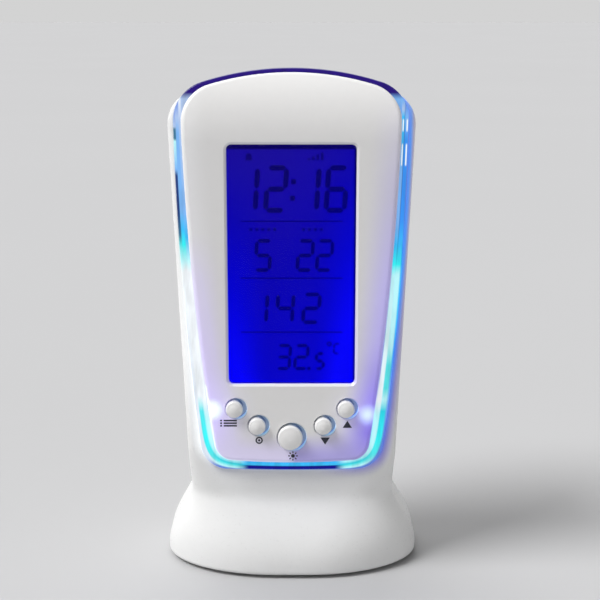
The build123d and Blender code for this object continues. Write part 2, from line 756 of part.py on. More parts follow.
def window_sketch(grow):
    return RectangleRounded(window_width + 2 * grow, window_height + 2 * grow, WINDOW_CORNER + grow)


def window_cut():
    """Window opening with a bevel at its front."""
    hole = extrude(on_face(0, window_z, PANEL_WALL + 1) * window_sketch(0), amount=PANEL_WALL + 3)
    low = on_face(0, window_z, WINDOW_BEVEL) * window_sketch(0)
    high = on_face(0, window_z, 0) * window_sketch(WINDOW_BEVEL)
    return hole + loft([low, high])


def display_lens():
    pane = extrude(on_face(0, window_z, PANEL_WALL) * window_sketch(-SNUG), PANEL_WALL - LENS_RECESS)
    flange = extrude(on_face(0, window_z, lens_back) * window_sketch(LENS_MARGIN), LENS_FLANGE)
    return pane + flange


def lcd_panel():
    half_glass = lens_back + LCD_THICKNESS / 2
    front = face_box(lcd_half, lcd_bottom, lcd_top, lens_back, half_glass)
    return front + face_box(lcd_half, lcd_bottom, lcd_top - LCD_LEDGE, half_glass, lcd_back)


def lcd_frame():
    outer = face_box(frame_half, frame_bottom, frame_top, lens_back, board_front)
    low = frame_bottom + FRAME_WALL
    high = frame_top - FRAME_WALL
    return outer - face_box(frame_half - FRAME_WALL, low, high, 0, board_back)


def lamp_block(grow):
    """Two backlight lamps at the lower edge of the plate, or the notches they sit in."""
    half = CHIP_LAMP_WIDTH / 2 + grow
    high = lcd_bottom + CHIP_LAMP_HEIGHT + grow
    front = lcd_back + CLEAR - grow
    places = [-window_width / 4, window_width / 4]
    return [face_box(half, lcd_bottom - grow, high, front, board_front + grow, x) for x in places]


def backlight_plate():
    plate = face_box(lcd_half - CLEAR, lcd_bottom, lcd_top - LCD_LEDGE, lcd_back, board_front)
    for notch in lamp_block(SNUG):
        plate -= notch
    return plate


def backlight_lamps():
    return group(lamp_block(0.0))


def contact_strip():
    low = lcd_top - LCD_LEDGE + CLEAR
    front = lens_back + LCD_THICKNESS / 2
    return face_box(lcd_half - CLEAR, low, lcd_top - CLEAR, front, board_front)


def main_board():
    lower = [p for p in panel_screw_places() if p[1] < window_z]
    tongue = abs(lower[0][0]) - POST_DIAMETER / 2 - CLEAR
    step = lower[0][1] + POST_DIAMETER / 2 + CLEAR
    bottom = LIGHT_BUTTON_Z - SWITCH_SIZE / 2 - BOARD_MARGIN
    board = face_box(board_half, step, board_top, board_front, board_back)
    board += face_box(tongue, bottom, step + 1, board_front, board_back)
    for x, z in board_screw_places():
        board -= face_rod(x, z, free_hole, board_front - 1, board_back + 1)
    return board


def switch_housings():
    housings = []
    for name in BUTTONS:
        x, z, cap = cap_place(name)
        half = SWITCH_SIZE / 2
        body = face_box(half, z - half, z + half, switch_top, board_front, x)
        bore = PLUNGER_DIAMETER / 2 + PLUNGER_FIT
        housings.append(body - face_rod(x, z, bore, 0, board_front - SWITCH_FLOOR))
    return group(housings)


def switch_plunger(name):
    x, z, cap = cap_place(name)
    end = board_front - SWITCH_FLOOR - BUTTON_TRAVEL - SNUG
    return face_rod(x, z, PLUNGER_DIAMETER / 2, plunger_top, end)


def button(name):
    """Domed cap through the panel, with a flange behind it and a stem on the plunger."""
    x, z, cap = cap_place(name)
    r = cap / 2
    stem = STEM_DIAMETER / 2
    flange = flange_radius(cap)
    flange_back = PANEL_WALL + CAP_FLANGE
    flat = r - CAP_EDGE
    rim = CAP_PROUD - CAP_DOME
    dome = (flat**2 + CAP_DOME**2) / (2 * CAP_DOME)
    bend = CAP_EDGE * sin(pi / 4)
    edges = [
        Polyline((0, CAP_PROUD), (0, -plunger_top), (stem, -plunger_top), (stem, -flange_back),
                 (flange, -flange_back), (flange, -PANEL_WALL), (r, -PANEL_WALL), (r, rim - CAP_EDGE)),
        ThreePointArc((r, rim - CAP_EDGE), (flat + bend, rim - CAP_EDGE + bend), (flat, rim)),
        ThreePointArc((flat, rim), (flat / 2, CAP_PROUD - dome + sqrt(dome**2 - flat**2 / 4)),
                      (0, CAP_PROUD)),
    ]
    return on_face(x, z) * revolve(Plane.XZ * make_face(edges), Axis.Z)


def ring_lamps():
    """Side-facing lamps on legs, between the outer switches and the ring's inner edge."""
    lamps = []
    z = SIDE_BUTTON[1]
    outer = panel_half(z - LAMP_HEIGHT / 2) - RING_UNDERLAP - CLEAR
    half = LAMP_LENGTH / 2
    back = LAMP_FRONT + LAMP_BODY
    for side in (-1, 1):
        x = side * (outer - half)
        lamp = face_box(half, z - LAMP_HEIGHT / 2, z + LAMP_HEIGHT / 2, LAMP_FRONT, back, x)
        for step in (-1, 1):
            leg = z + step * LAMP_HEIGHT / 4
            lamp += face_box(LEG_HALF, leg - LEG_HALF, leg + LEG_HALF, back, board_front, x)
        lamps.append(lamp)
    return group(lamps)


def chip():
    form = face_rod(0, bay_z, CHIP_DIAMETER / 2, board_back, board_back + CHIP_HEIGHT)
    return fillet(form.edges().sort_by(Axis.Y)[-1], CHIP_ROUND)


def quartz_crystal():
    r = CRYSTAL_DIAMETER / 2
    place = on_face(CHIP_DIAMETER, bay_z, board_back + r)
    return place * Rot(0, 90, 0) * Cylinder(r, CRYSTAL_LENGTH)


def thermistor():
    r = BEAD_DIAMETER / 2
    x, z, cap = cap_place("set_button")
    bead = on_face(x, z, board_back + r + BEAD_LIFT) * Sphere(r)
    return bead + face_rod(x, z, BEAD_LEG / 2, board_back, board_back + r)


def base_plate():
    outline = Pos(0, 0, base_bottom - FOOT_EDGE_Z) * section(FOOT_EDGE_Z, WALL + BASE_GAP)
    plate = extrude(outline, BASE_THICKNESS)
    outer = SOUNDER_DIAMETER / 2 + CLEAR + SOUNDER_WALL
    rise = SOUNDER_LIFT + SOUNDER_THICKNESS + CERAMIC_THICKNESS
    cup = Cylinder(outer, rise, align=UP) - Cylinder(SOUNDER_DIAMETER / 2 - SOUNDER_STEP, rise, align=UP)
    cup -= Pos(0, 0, SOUNDER_LIFT) * Cylinder(SOUNDER_DIAMETER / 2 + SNUG, rise, align=UP)
    plate += Pos(0, 0, base_top) * cup
    holes = [(0.0, 0.0)]
    for n in range(SOUND_HOLES):
        turn = 2 * pi * n / SOUND_HOLES
        holes.append((SOUND_RING * cos(turn), SOUND_RING * sin(turn)))
    for x, y in holes:
        plate -= Pos(x, y, 0) * Cylinder(SOUND_HOLE / 2, base_top + 1, align=UP)
    for x, y in pad_places():
        plate -= Pos(x, y, 0) * Cylinder(FOOT_PAD_DIAMETER / 2 + SNUG, base_bottom + FOOT_PAD_SET, align=UP)
    for x, y in base_screw_places():
        plate -= Pos(x, y, 0) * Cylinder(free_hole, base_top + 1, align=UP)
        plate -= Pos(x, y, 0) * Cylinder(head_hole, base_bottom + SCREW_HEAD_HEIGHT, align=UP)
    return plate


def pad_places():
    return [(sx * FOOT_PAD_X, sy * FOOT_PAD_Y) for sx in (-1, 1) for sy in (-1, 1)]


def rubber_feet():
    pad = Cylinder(FOOT_PAD_DIAMETER / 2, base_bottom + FOOT_PAD_SET, align=UP)
    pad = fillet(pad.edges().sort_by(Axis.Z)[0], FOOT_PAD_ROUND)
    return group([Pos(x, y, 0) * pad for x, y in pad_places()])


def sounder_disc():
    return Pos(0, 0, disc_z) * Cylinder(SOUNDER_DIAMETER / 2, SOUNDER_THICKNESS, align=UP)


def sounder_ceramic():
    place = Pos(0, 0, disc_z + SOUNDER_THICKNESS)
    return place * Cylinder(CERAMIC_DIAMETER / 2, CERAMIC_THICKNESS, align=UP)


def screw(length):
    """Pan-head screw along Z: head above 0, shank below, cross recess on top."""
    head = Cylinder(SCREW_HEAD / 2, SCREW_HEAD_HEIGHT, align=UP)
    head = fillet(head.edges().sort_by(Axis.Z)[-1], SCREW_HEAD_ROUND)
    for turn in (0, 90):
        arm = Rot(0, 0, turn) * Box(CROSS_LENGTH, CROSS_WIDTH, 2 * CROSS_DEPTH)
        head -= Pos(0, 0, SCREW_HEAD_HEIGHT) * arm
    return head + Pos(0, 0, -length) * Cylinder(SCREW_DIAMETER / 2, length, align=UP)


def panel_screws():
    made = screw(POST_FLOOR + PANEL_SCREW_BITE)
    turn = Rot(-90, 0, 0)
    return group([Pos(x, boss_end(z) + POST_FLOOR, z) * turn * made for x, z in panel_screw_places()])


def board_screws():
    made = screw(BOARD_THICKNESS + BOARD_SCREW_BITE)
    turn = Rot(180, 0, 0)
    return group([on_face(x, z, board_back) * turn * made for x, z in board_screw_places()])


def base_screws():
    seat = base_bottom + SCREW_HEAD_HEIGHT
    made = screw(base_top - seat + BASE_SCREW_BITE)
    turn = Rot(180, 0, 0)
    return group([Pos(x, y, seat) * turn * made for x, y in base_screw_places()])


def lead(start, along, end, arrive):
    """Round wire from one point to another, with the directions it leaves and arrives in."""
    path = biarc(start, along, end, arrive)
    return tube(path, start, along, WIRE_DIAMETER)


def board_back_y(z):
    return face_y(z) + board_back / cos(radians(FACE_TILT))


def battery_wires():
    wires = []
    ahead = Vector(0, -1, 0)
    for x, z in tab_places():
        start = Vector(x, bay_floor_y - BAY_WALL - TAB_REACH, z)
        goal = z - WIRE_DROP if z > bay_z else z + WIRE_DROP
        end = Vector(x, board_back_y(goal) + SNUG, goal)
        wires.append(lead(start, ahead, end, ahead))
    return group(wires)


def sounder_wires():
    """One wire from the ceramic and one from the rim of the disc, up to the board."""
    disc_top = disc_z + SOUNDER_THICKNESS
    rim = (SOUNDER_DIAMETER + CERAMIC_DIAMETER) / 4
    starts = {-SOUNDER_WIRE_X: Vector(-SOUNDER_WIRE_X, 0, disc_top + CERAMIC_THICKNESS),
              SOUNDER_WIRE_X: Vector(rim, 0, disc_top)}
    wires = []
    for x, start in starts.items():
        end = Vector(x, board_back_y(LIGHT_BUTTON_Z) + SNUG, LIGHT_BUTTON_Z)
        wires.append(lead(start, Vector(0, 0, 1), end, Vector(0, -1, 0)))
    return group(wires)


def pieces():
    made = {
        "body_shell": body_shell(),
        "front_panel": front_panel(),
        "light_ring": light_ring(),
        "display_lens": display_lens(),
        "lcd_panel": lcd_panel(),
        "lcd_frame": lcd_frame(),
        "backlight_plate": backlight_plate(),
        "backlight_lamps": backlight_lamps(),
        "contact_strip": contact_strip(),
        "main_board": main_board(),
        "switch_housings": switch_housings(),
        "ring_lamps": ring_lamps(),
        "chip": chip(),
        "quartz_crystal": quartz_crystal(),
        "thermistor": thermistor(),
        "base_plate": base_plate(),
        "rubber_feet": rubber_feet(),
        "sounder_disc": sounder_disc(),
        "sounder_ceramic": sounder_ceramic(),
        "battery_door": battery_door(),
        "battery_left": battery(0),
        "battery_middle": battery(1),
        "battery_right": battery(2),
        "battery_contacts": battery_contacts(),
        "battery_springs": battery_springs(),
        "panel_screws": panel_screws(),
        "board_screws": board_screws(),
        "base_screws": base_screws(),
        "battery_wires": battery_wires(),
        "sounder_wires": sounder_wires(),
    }
    for name in BUTTONS:
        made[name] = button(name)
        made[name.replace("_button", "_plunger")] = switch_plunger(name)
    return made


if __name__ == "__main__":
    os.makedirs("parts", exist_ok=True)
    for node, shape in pieces().items():
        export_step(shape, os.path.join("parts", node + ".step"))
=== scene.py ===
import json
from math import cos, pi, radians, sin, tan

import bmesh
import bpy
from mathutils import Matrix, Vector

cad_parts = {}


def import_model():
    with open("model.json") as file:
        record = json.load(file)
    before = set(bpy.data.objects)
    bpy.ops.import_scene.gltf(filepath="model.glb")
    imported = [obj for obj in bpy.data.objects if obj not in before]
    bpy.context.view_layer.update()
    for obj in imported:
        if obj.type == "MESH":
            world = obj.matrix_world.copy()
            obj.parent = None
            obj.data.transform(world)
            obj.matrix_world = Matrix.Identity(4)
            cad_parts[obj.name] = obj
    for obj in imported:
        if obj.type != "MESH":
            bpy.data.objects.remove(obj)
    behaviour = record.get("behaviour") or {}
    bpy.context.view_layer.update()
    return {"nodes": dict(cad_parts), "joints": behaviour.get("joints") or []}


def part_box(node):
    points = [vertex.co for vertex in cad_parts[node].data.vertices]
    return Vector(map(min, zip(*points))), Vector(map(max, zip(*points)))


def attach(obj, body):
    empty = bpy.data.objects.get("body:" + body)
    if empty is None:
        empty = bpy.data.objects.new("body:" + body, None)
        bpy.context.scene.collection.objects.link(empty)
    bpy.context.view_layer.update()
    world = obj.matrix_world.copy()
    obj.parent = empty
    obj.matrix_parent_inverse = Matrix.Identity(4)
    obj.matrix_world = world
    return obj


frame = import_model()

# The looks of a white desk clock with a lit ring and a blue display.
# Metres, apart from outlines and height stops in millimetres, as their comments say.
MM = 0.001
NODES = frame["nodes"]


def srgb(red, green, blue):
    """Colour given the way a screen shows it, 0 to 255, as the renderer wants it."""
    shares = [c / 255 for c in (red, green, blue)]
    return tuple(s / 12.92 if s <= 0.04045 else ((s + 0.055) / 1.055) ** 2.4 for s in shares)


# Colours
WHITE_SHELL = srgb(238, 238, 237)
WHITE_PANEL = srgb(236, 235, 234)
WHITE_KEY = srgb(238, 237, 236)
WHITE_BASE = srgb(226, 227, 229)
SNOW = srgb(242, 248, 251)
FROST = srgb(226, 236, 250)
ICE = srgb(186, 246, 250)
CYAN = srgb(55, 244, 248)
AQUA = srgb(90, 228, 232)
TURQUOISE = srgb(40, 205, 222)
SKY = srgb(58, 188, 248)
AZURE = srgb(56, 146, 242)
CORNFLOWER = srgb(122, 178, 238)
STEEL = srgb(172, 195, 232)
SLATE = srgb(96, 130, 214)
PERIWINKLE = srgb(152, 160, 222)
TEAL = srgb(62, 118, 150)
NAVY = srgb(28, 56, 118)
DEEP_BLUE = srgb(2, 2, 138)
INDIGO = srgb(34, 6, 118)
LILAC = srgb(208, 192, 255)
VIOLET = srgb(150, 132, 250)
LAMP_WHITE = srgb(205, 250, 252)
LCD_TOP = srgb(24, 10, 150)
LCD_MIDDLE = srgb(8, 2, 174)
LCD_LOW = srgb(2, 1, 206)
LCD_EDGE = srgb(2, 1, 250)
INK = srgb(34, 34, 52)
ZINC = srgb(200, 202, 206)
NICKEL = srgb(214, 212, 204)
BRASS = srgb(214, 180, 96)
SPRING_STEEL = srgb(206, 206, 204)
BARE_STEEL = (0.6, 0.6, 0.6)
CHARCOAL = srgb(46, 47, 50)
LENS_CLEAR = (0.97, 0.98, 1.0)
MILK = srgb(232, 238, 250)
LAMP_EPOXY = srgb(225, 235, 250)
RING_EPOXY = srgb(215, 232, 255)
CHIP_BLACK = srgb(24, 24, 26)
BEAD_GREEN = srgb(40, 60, 46)
CERAMIC = srgb(216, 214, 206)
STRIP_GREY = srgb(60, 58, 62)
FOOT_GREY = srgb(58, 58, 60)
WIRE_RED = srgb(170, 26, 26)
WIRE_BLACK = srgb(36, 36, 38)
BOARD_DARK = srgb(20, 96, 52)
BOARD_LIGHT = srgb(26, 108, 60)
TRACK_GREEN = srgb(44, 134, 78)
JACKET_DARK = srgb(24, 44, 84)
JACKET_LIGHT = srgb(196, 200, 206)
JACKET_LINE = srgb(214, 216, 220)
FLOOR = srgb(188, 188, 189)
WHITE = (1.0, 1.0, 1.0)
BLACK = (0.0, 0.0, 0.0)

# Camera and lights
CAMERA_PLACE = (2.13 * MM, -320 * MM, 146 * MM)
CAMERA_PITCH = 13.506
CAMERA_LENS = 74.5
CAMERA_NEAR = 10 * MM
KEY_PLACE = (-0.72, -0.26, 1.05)
KEY_STRENGTH = 2.9
KEY_ANGLE = 26
TOP_PLACE = (-0.20, 0.52, 1.25)
TOP_STRENGTH = 1.1
TOP_ANGLE = 35
FILL_PLACE = (0.75, -0.55, 0.35)
FILL_STRENGTH = 0.25
FILL_ANGLE = 60
WORLD_LIGHT = 0.24
BACKDROP_LIGHT = 0.65       # what the camera sees beyond the floor
AIM = Vector((0, 0, 0.065))

# Place on the clock's leaning face
joints = {j["name"]: j for j in frame["joints"]}
INWARD = Vector(joints["light_press"]["axis"]).normalized()
ALONG = Vector((0, -INWARD.z, INWARD.y))


def depth_of(node):
    """How far in the front of a node lies, measured square to the face."""
    return min(v.co.dot(INWARD) for v in NODES[node].data.vertices)


def on_face(x, z, depth):
    """Point at a height and a depth behind the origin, both in metres."""
    climb = (z - depth * INWARD.z) / ALONG.z
    return Vector((x, 0, 0)) + ALONG * climb + INWARD * depth


face_depth = depth_of("front_panel")
lcd_depth = depth_of("lcd_panel")

# Front outlines of the ring and the panel, measured on the solids for the glow along them
SIDE_HEIGHTS = (50 * MM, 80 * MM, 108 * MM)
LOW_PLACES = (0.5 * MM, 6 * MM, 12 * MM)
CORNER_BLEND = {"light_ring": 12 * MM, "front_panel": 9 * MM}


def crossings(node, axis, place):
    """Points where the edges of a solid cross a plane."""
    mesh = NODES[node].data
    for edge in mesh.edges:
        a, b = (mesh.vertices[i].co for i in edge.vertices)
        if (a[axis] - place) * (b[axis] - place) < 0:
            yield a.lerp(b, (place - a[axis]) / (b[axis] - a[axis]))


def parabola(points):
    """Terms of a + b t + c t t through three points."""
    (t0, v0), (t1, v1), (t2, v2) = points
    first = (v1 - v0) / (t1 - t0)
    second = ((v2 - v0) / (t2 - t0) - first) / (t2 - t1)
    return v0 - first * t0 + second * t0 * t1, first - second * (t0 + t1), second


def front_outline(node):
    """Half-width over height, and lower edge over distance from the middle."""
    side = [(z, max(abs(p.x) for p in crossings(node, 2, z))) for z in SIDE_HEIGHTS]
    low = [(x, min(p.z for p in crossings(node, 0, x))) for x in LOW_PLACES]
    return parabola(side), parabola(low)


OUTLINES = {node: front_outline(node) for node in CORNER_BLEND}


# Shader helpers

def new_material(name):
    """New material, its node tree and its shader."""
    made = bpy.data.materials.new(name)
    made.use_nodes = True
    return made, made.node_tree, made.node_tree.nodes["Principled BSDF"]


def feed(tree, socket, value):
    """Sets a socket to a number or colour, or links another socket to it."""
    if isinstance(value, bpy.types.NodeSocket):
        tree.links.new(value, socket)
    elif isinstance(value, tuple) and len(value) == 3 and socket.type == "RGBA":
        socket.default_value = (*value, 1.0)
    else:
        socket.default_value = value


def place(tree):
    """Place on the solid, in metres."""
    return tree.nodes.new("ShaderNodeTexCoord").outputs["Object"]


def split(tree, vector):
    """The three parts of a vector."""
    node = tree.nodes.new("ShaderNodeSeparateXYZ")
    tree.links.new(vector, node.inputs[0])
    return node.outputs


def math(tree, operation, first, second=0.0, third=0.0):
    """Result of a sum, a product or the like."""
    node = tree.nodes.new("ShaderNodeMath")
    node.operation = operation
    for socket, value in zip(node.inputs, (first, second, third)):
        feed(tree, socket, value)
    return node.outputs[0]


def spread(tree, value, low, high, to_low, to_high, smooth=False):
    """Carries a value from one range into another."""
    node = tree.nodes.new("ShaderNodeMapRange")
    node.interpolation_type = "SMOOTHSTEP" if smooth else "LINEAR"
    for name, item in (("Value", value), ("From Min", low), ("From Max", high),
                       ("To Min", to_low), ("To Max", to_high)):
        feed(tree, node.inputs[name], item)
    return node.outputs["Result"]


def noise(tree, spot, scale, detail=2.0, stretch=None):
    """Soft noise with so many cells per metre."""
    if stretch:
        mapping = tree.nodes.new("ShaderNodeMapping")
        mapping.inputs["Scale"].default_value = stretch
        tree.links.new(spot, mapping.inputs["Vector"])
        spot = mapping.outputs["Vector"]
    node = tree.nodes.new("ShaderNodeTexNoise")
    node.inputs["Scale"].default_value = scale
    node.inputs["Detail"].default_value = detail
    tree.links.new(spot, node.inputs["Vector"])
    return node.outputs["Fac"]


def ramp(tree, value, stops):
    """Colours along a value; stops are pairs of place and colour, in order."""
    node = tree.nodes.new("ShaderNodeValToRGB")
    elements = node.color_ramp.elements
    while len(elements) < len(stops):
        elements.new(0.5)
    for element, (spot, colour) in zip(elements, stops):
        element.position = spot
        element.color = (*colour, 1.0)
    tree.links.new(value, node.inputs["Fac"])
    return node.outputs["Color"]


def blend(tree, share, first, second, mode="MIX"):
    """Lays a share of a second colour over a first."""
    node = tree.nodes.new("ShaderNodeMix")
    node.data_type = "RGBA"
    node.blend_type = mode
    feed(tree, node.inputs[0], share)
    feed(tree, node.inputs[6], first)
    feed(tree, node.inputs[7], second)
    return node.outputs[2]


def shade(colour, share):
    """Colour dimmed to a share of itself."""
    return tuple(c * share for c in colour)


def bump(tree, shader, height, depth, strength=0.4):
    """Fine relief of a depth in metres."""
    node = tree.nodes.new("ShaderNodeBump")
    node.inputs["Strength"].default_value = strength
    node.inputs["Distance"].default_value = depth
    tree.links.new(height, node.inputs["Height"])
    tree.links.new(node.outputs["Normal"], shader.inputs["Normal"])


def dot(tree, vector, direction):
    """How far a vector reaches along a direction."""
    node = tree.nodes.new("ShaderNodeVectorMath")
    node.operation = "DOT_PRODUCT"
    tree.links.new(vector, node.inputs[0])
    node.inputs[1].default_value = direction
    return node.outputs["Value"]


def curve(tree, value, terms):
    """Value of a parabola."""
    a, b, c = terms
    return math(tree, "MULTIPLY_ADD", value, math(tree, "MULTIPLY_ADD", value, c, b), a)


def distances(tree, spot, node):
    """How far inside a front outline a spot is, from its side and from its lower edge."""
    x, y, z = split(tree, spot)
    across = math(tree, "ABSOLUTE", x)
    side, low = OUTLINES[node]
    from_side = math(tree, "SUBTRACT", curve(tree, z, side), across)
    from_low = math(tree, "SUBTRACT", z, curve(tree, across, low))
    return from_side, from_low


def inside(tree, spot, node):
    """How far inside a front outline a spot is, with the corners rounded."""
    return math(tree, "SMOOTH_MIN", *distances(tree, spot, node), CORNER_BLEND[node])


def right_half(tree, spot):
    """One on the right half of the clock and nought on the left."""
    return spread(tree, split(tree, spot)[0], -1 * MM, 1 * MM, 0.0, 1.0)


def heights(tree, spot, stops):
    """Colours or shares along the height, at heights in millimetres."""
    low, high = stops[0][0], stops[-1][0]
    share = spread(tree, split(tree, spot)[2], low * MM, high * MM, 0.0, 1.0)
    placed = [((z - low) / (high - low), level(value)) for z, value in stops]
    return ramp(tree, share, placed)


def level(value):
    """Grey colour for a share."""
    return value if isinstance(value, tuple) else (value, value, value)


def facing(tree):
    """How far a surface faces right, back and up, each from -1 to 1."""
    return split(tree, tree.nodes.new("ShaderNodeTexCoord").outputs["Normal"])


def product(tree, *values):
    """Product of any number of values."""
    result = values[0]
    for value in values[1:]:
        result = math(tree, "MULTIPLY", result, value)
    return result


# Materials

NOISE_LOW, NOISE_HIGH = 0.3, 0.7    # nearly all of a noise lies between these
GRAIN = 4200                        # cells of moulded texture per metre
GRAIN_DEPTH = 0.004 * MM
MOTTLE = 600                        # cells of faint mottle per metre
MOTTLE_DARK = 0.99


def cloudy(tree, shader, cloud, colour, darkest):
    """Base colour that falls to a share of itself where a noise is low."""
    stops = [(NOISE_LOW, shade(colour, darkest)), (NOISE_HIGH, colour)]
    feed(tree, shader.inputs["Base Color"], ramp(tree, cloud, stops))


def uneven_gloss(tree, shader, gloss, rough, change):
    """Roughness that wanders about a value with a noise."""
    wander = spread(tree, gloss, NOISE_LOW, NOISE_HIGH, rough - change, rough + change)
    feed(tree, shader.inputs["Roughness"], wander)


def moulding(name, colour, rough, grain_depth=GRAIN_DEPTH):
    """Moulded plastic with fine grain, faint mottle and uneven gloss, with its tree and shader."""
    made, tree, shader = new_material(name)
    spot = place(tree)
    cloudy(tree, shader, noise(tree, spot, MOTTLE), colour, MOTTLE_DARK)
    uneven_gloss(tree, shader, noise(tree, spot, 3 * MOTTLE), rough, 0.03)
    bump(tree, shader, noise(tree, spot, GRAIN, 1), grain_depth)
    return made, tree, shader


def plastic(*settings):
    """Moulded plastic with nothing added."""
    return moulding(*settings)[0]


def glow(tree, shader, colour, strength):
    """Light that a surface gives off."""
    feed(tree, shader.inputs["Emission Color"], colour)
    shader.inputs["Emission Strength"].default_value = strength


def tint(tree, shader, share, colour):
    """Blends a colour over the base colour a shader already has."""
    socket = shader.inputs["Base Color"]
    feed(tree, socket, blend(tree, share, socket.links[0].from_socket, colour))


def add_light(tree, light, share, colour):
    """Adds a share of a colour to a light."""
    return blend(tree, 1.0, light, blend(tree, share, BLACK, colour), "ADD")


RIM_GLOW = 3.2 * MM                 # reach of the ring's painted glow on the shell outside the ring
RIM_DEPTH = (2 * MM, 5 * MM)        # where it fades behind the front of the ring
RIM_ASIDE = (5 * MM, 19 * MM)       # where it grows, away from the middle
RIM_LINE = (0.39 * MM, 1.3 * MM)    # where the painted blue line of ring light beside the ring fades
RIM_LINE_LIGHT = 0.5

# Shares of the ring's light painted on the shell's rim over the height in millimetres
RIM_PAINTED_LILAC = ((24, 0.25), (30, 0.8), (46, 0.9), (60, 0.8), (84, 0.5), (118, 0.4))
RIM_PAINTED_WHITE = ((28, 0.0), (34, 0.35), (60, 0.3), (82, 0.12), (110, 0.06))
RIM_PAINTED_BLUE = ((24, 0.0), (40, 0.35), (60, 0.5), (84, 0.8), (112, 0.8), (126, 0.4))


def ring_front():
    """Front of the ring as y over z: place at z = 0 and slope."""
    low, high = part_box("light_ring")
    points = [v.co for v in NODES["light_ring"].data.vertices]
    low_y = min(p.y for p in points if p.z < low.z + 1 * MM)
    high_y = min(p.y for p in points if p.z > high.z - 1 * MM)
    slope = (high_y - low_y) / (high.z - low.z)
    return low_y - slope * low.z, slope


def shell_plastic():
    """White shell with the ring's light painted on its rim: white at the left, lilac and blue at the right.
    """
    made, tree, shader = moulding("shell_white", WHITE_SHELL, 0.3)
    spot = place(tree)
    x, y, z = split(tree, spot)
    start, slope = ring_front()
    behind = math(tree, "SUBTRACT", y, curve(tree, z, (start, slope, 0.0)))
    front = spread(tree, behind, *RIM_DEPTH, 1.0, 0.0, True)
    aside = spread(tree, math(tree, "ABSOLUTE", x), *RIM_ASIDE, 0.0, 1.0, True)
    outside = math(tree, "MULTIPLY", inside(tree, spot, "light_ring"), -1.0)
    near = spread(tree, outside, 0.0, RIM_GLOW, 1.0, 0.0, True)
    rim = product(tree, near, front, aside)
    line = product(tree, spread(tree, outside, *RIM_LINE, 1.0, 0.0, True), front, aside)
    right = right_half(tree, spot)
    left = math(tree, "SUBTRACT", 1.0, right)
    # painted ring light: lilac tint and a blue line on the rim's right, white glow on its left
    tint(tree, shader, product(tree, rim, right, heights(tree, spot, RIM_PAINTED_LILAC)), VIOLET)
    blue = product(tree, line, right, heights(tree, spot, RIM_PAINTED_BLUE))
    tint(tree, shader, blue, AZURE)
    light = add_light(tree, BLACK, product(tree, rim, left, heights(tree, spot, RIM_PAINTED_WHITE)), SNOW)
    light = add_light(tree, light, product(tree, blue, RIM_LINE_LIGHT), AZURE)
    glow(tree, shader, light, 1.0)
    return made


# Painted light of the two ring lamps shining through the panel: place and strength of each hot spot
HOT_SPOTS = ((-20.4 * MM, 44.2 * MM, 1.0), (19.6 * MM, 42.9 * MM, 0.75))
HOT_REACH = 3.6 * MM
HALO_REACH = 13 * MM
HALO_LIGHT = 0.2
EDGE_REACH = 9 * MM         # reach of the ring's light painted on the panel
# Painted highlight along the panel's left edge: its reach and strength
SHEEN_REACH = 7 * MM
SHEEN_LIGHT = 0.1
# strength of all the light painted on the panel
PANEL_GLOW = 0.85

# Shares of the ring's light painted on the panel over the height in millimetres
LEFT_PAINTED_TINT = ((29, 0.5), (40, 0.75), (60, 0.7), (78, 0.45), (90, 0.05), (120, 0.0))
LEFT_LIGHT = 0.16
RIGHT_PAINTED_TINT = ((29, 0.5), (38, 1.0), (48, 0.9), (62, 0.55), (84, 0.4), (104, 0.25), (122, 0.0))
RIGHT_LIGHT = ((29, 0.05), (44, 0.12), (60, 0.22), (74, 0.22), (86, 0.12), (98, 0.02))

# Painted light on the walls of the button holes, by depth behind the face and by how far they face right
KEYS_TOP = 50 * MM
WALL_START = 0.1 * MM
WALL_END = 0.5 * MM
WALL_DEEP = 2.0 * MM
WALL_LIGHT = 0.7
WALL_TURN = (-0.6, 0.2)
WALL_DIM = 0.05


def spot_light(tree, spot):
    """Painted light of the two ring lamps that shines through the panel's lower corners."""
    light = BLACK
    for x, z, strength in HOT_SPOTS:
        away = tree.nodes.new("ShaderNodeVectorMath")
        away.operation = "DISTANCE"
        tree.links.new(spot, away.inputs[0])
        away.inputs[1].default_value = on_face(x, z, face_depth)
        core = spread(tree, away.outputs["Value"], 0.0, HOT_REACH, strength, 0.0, True)
        halo = spread(tree, away.outputs["Value"], 0.0, HALO_REACH, HALO_LIGHT, 0.0, True)
        light = add_light(tree, light, core, LAMP_WHITE)
        light = add_light(tree, light, halo, VIOLET)
    return light


def hole_light(tree, spot):
    """Share and colour of the painted light on the walls of the button holes."""
    depth = math(tree, "SUBTRACT", dot(tree, spot, INWARD), face_depth)
    wall = spread(tree, depth, WALL_START, WALL_END, 0.0, WALL_LIGHT)
    low = spread(tree, split(tree, spot)[2], KEYS_TOP, KEYS_TOP + 1 * MM, 1.0, 0.0)
    turned = spread(tree, facing(tree)[0], *WALL_TURN, 1.0, WALL_DIM)
    blue = blend(tree, spread(tree, depth, WALL_START, WALL_DEEP, 0.0, 1.0), ICE, AZURE)
    return product(tree, wall, low, turned), blue


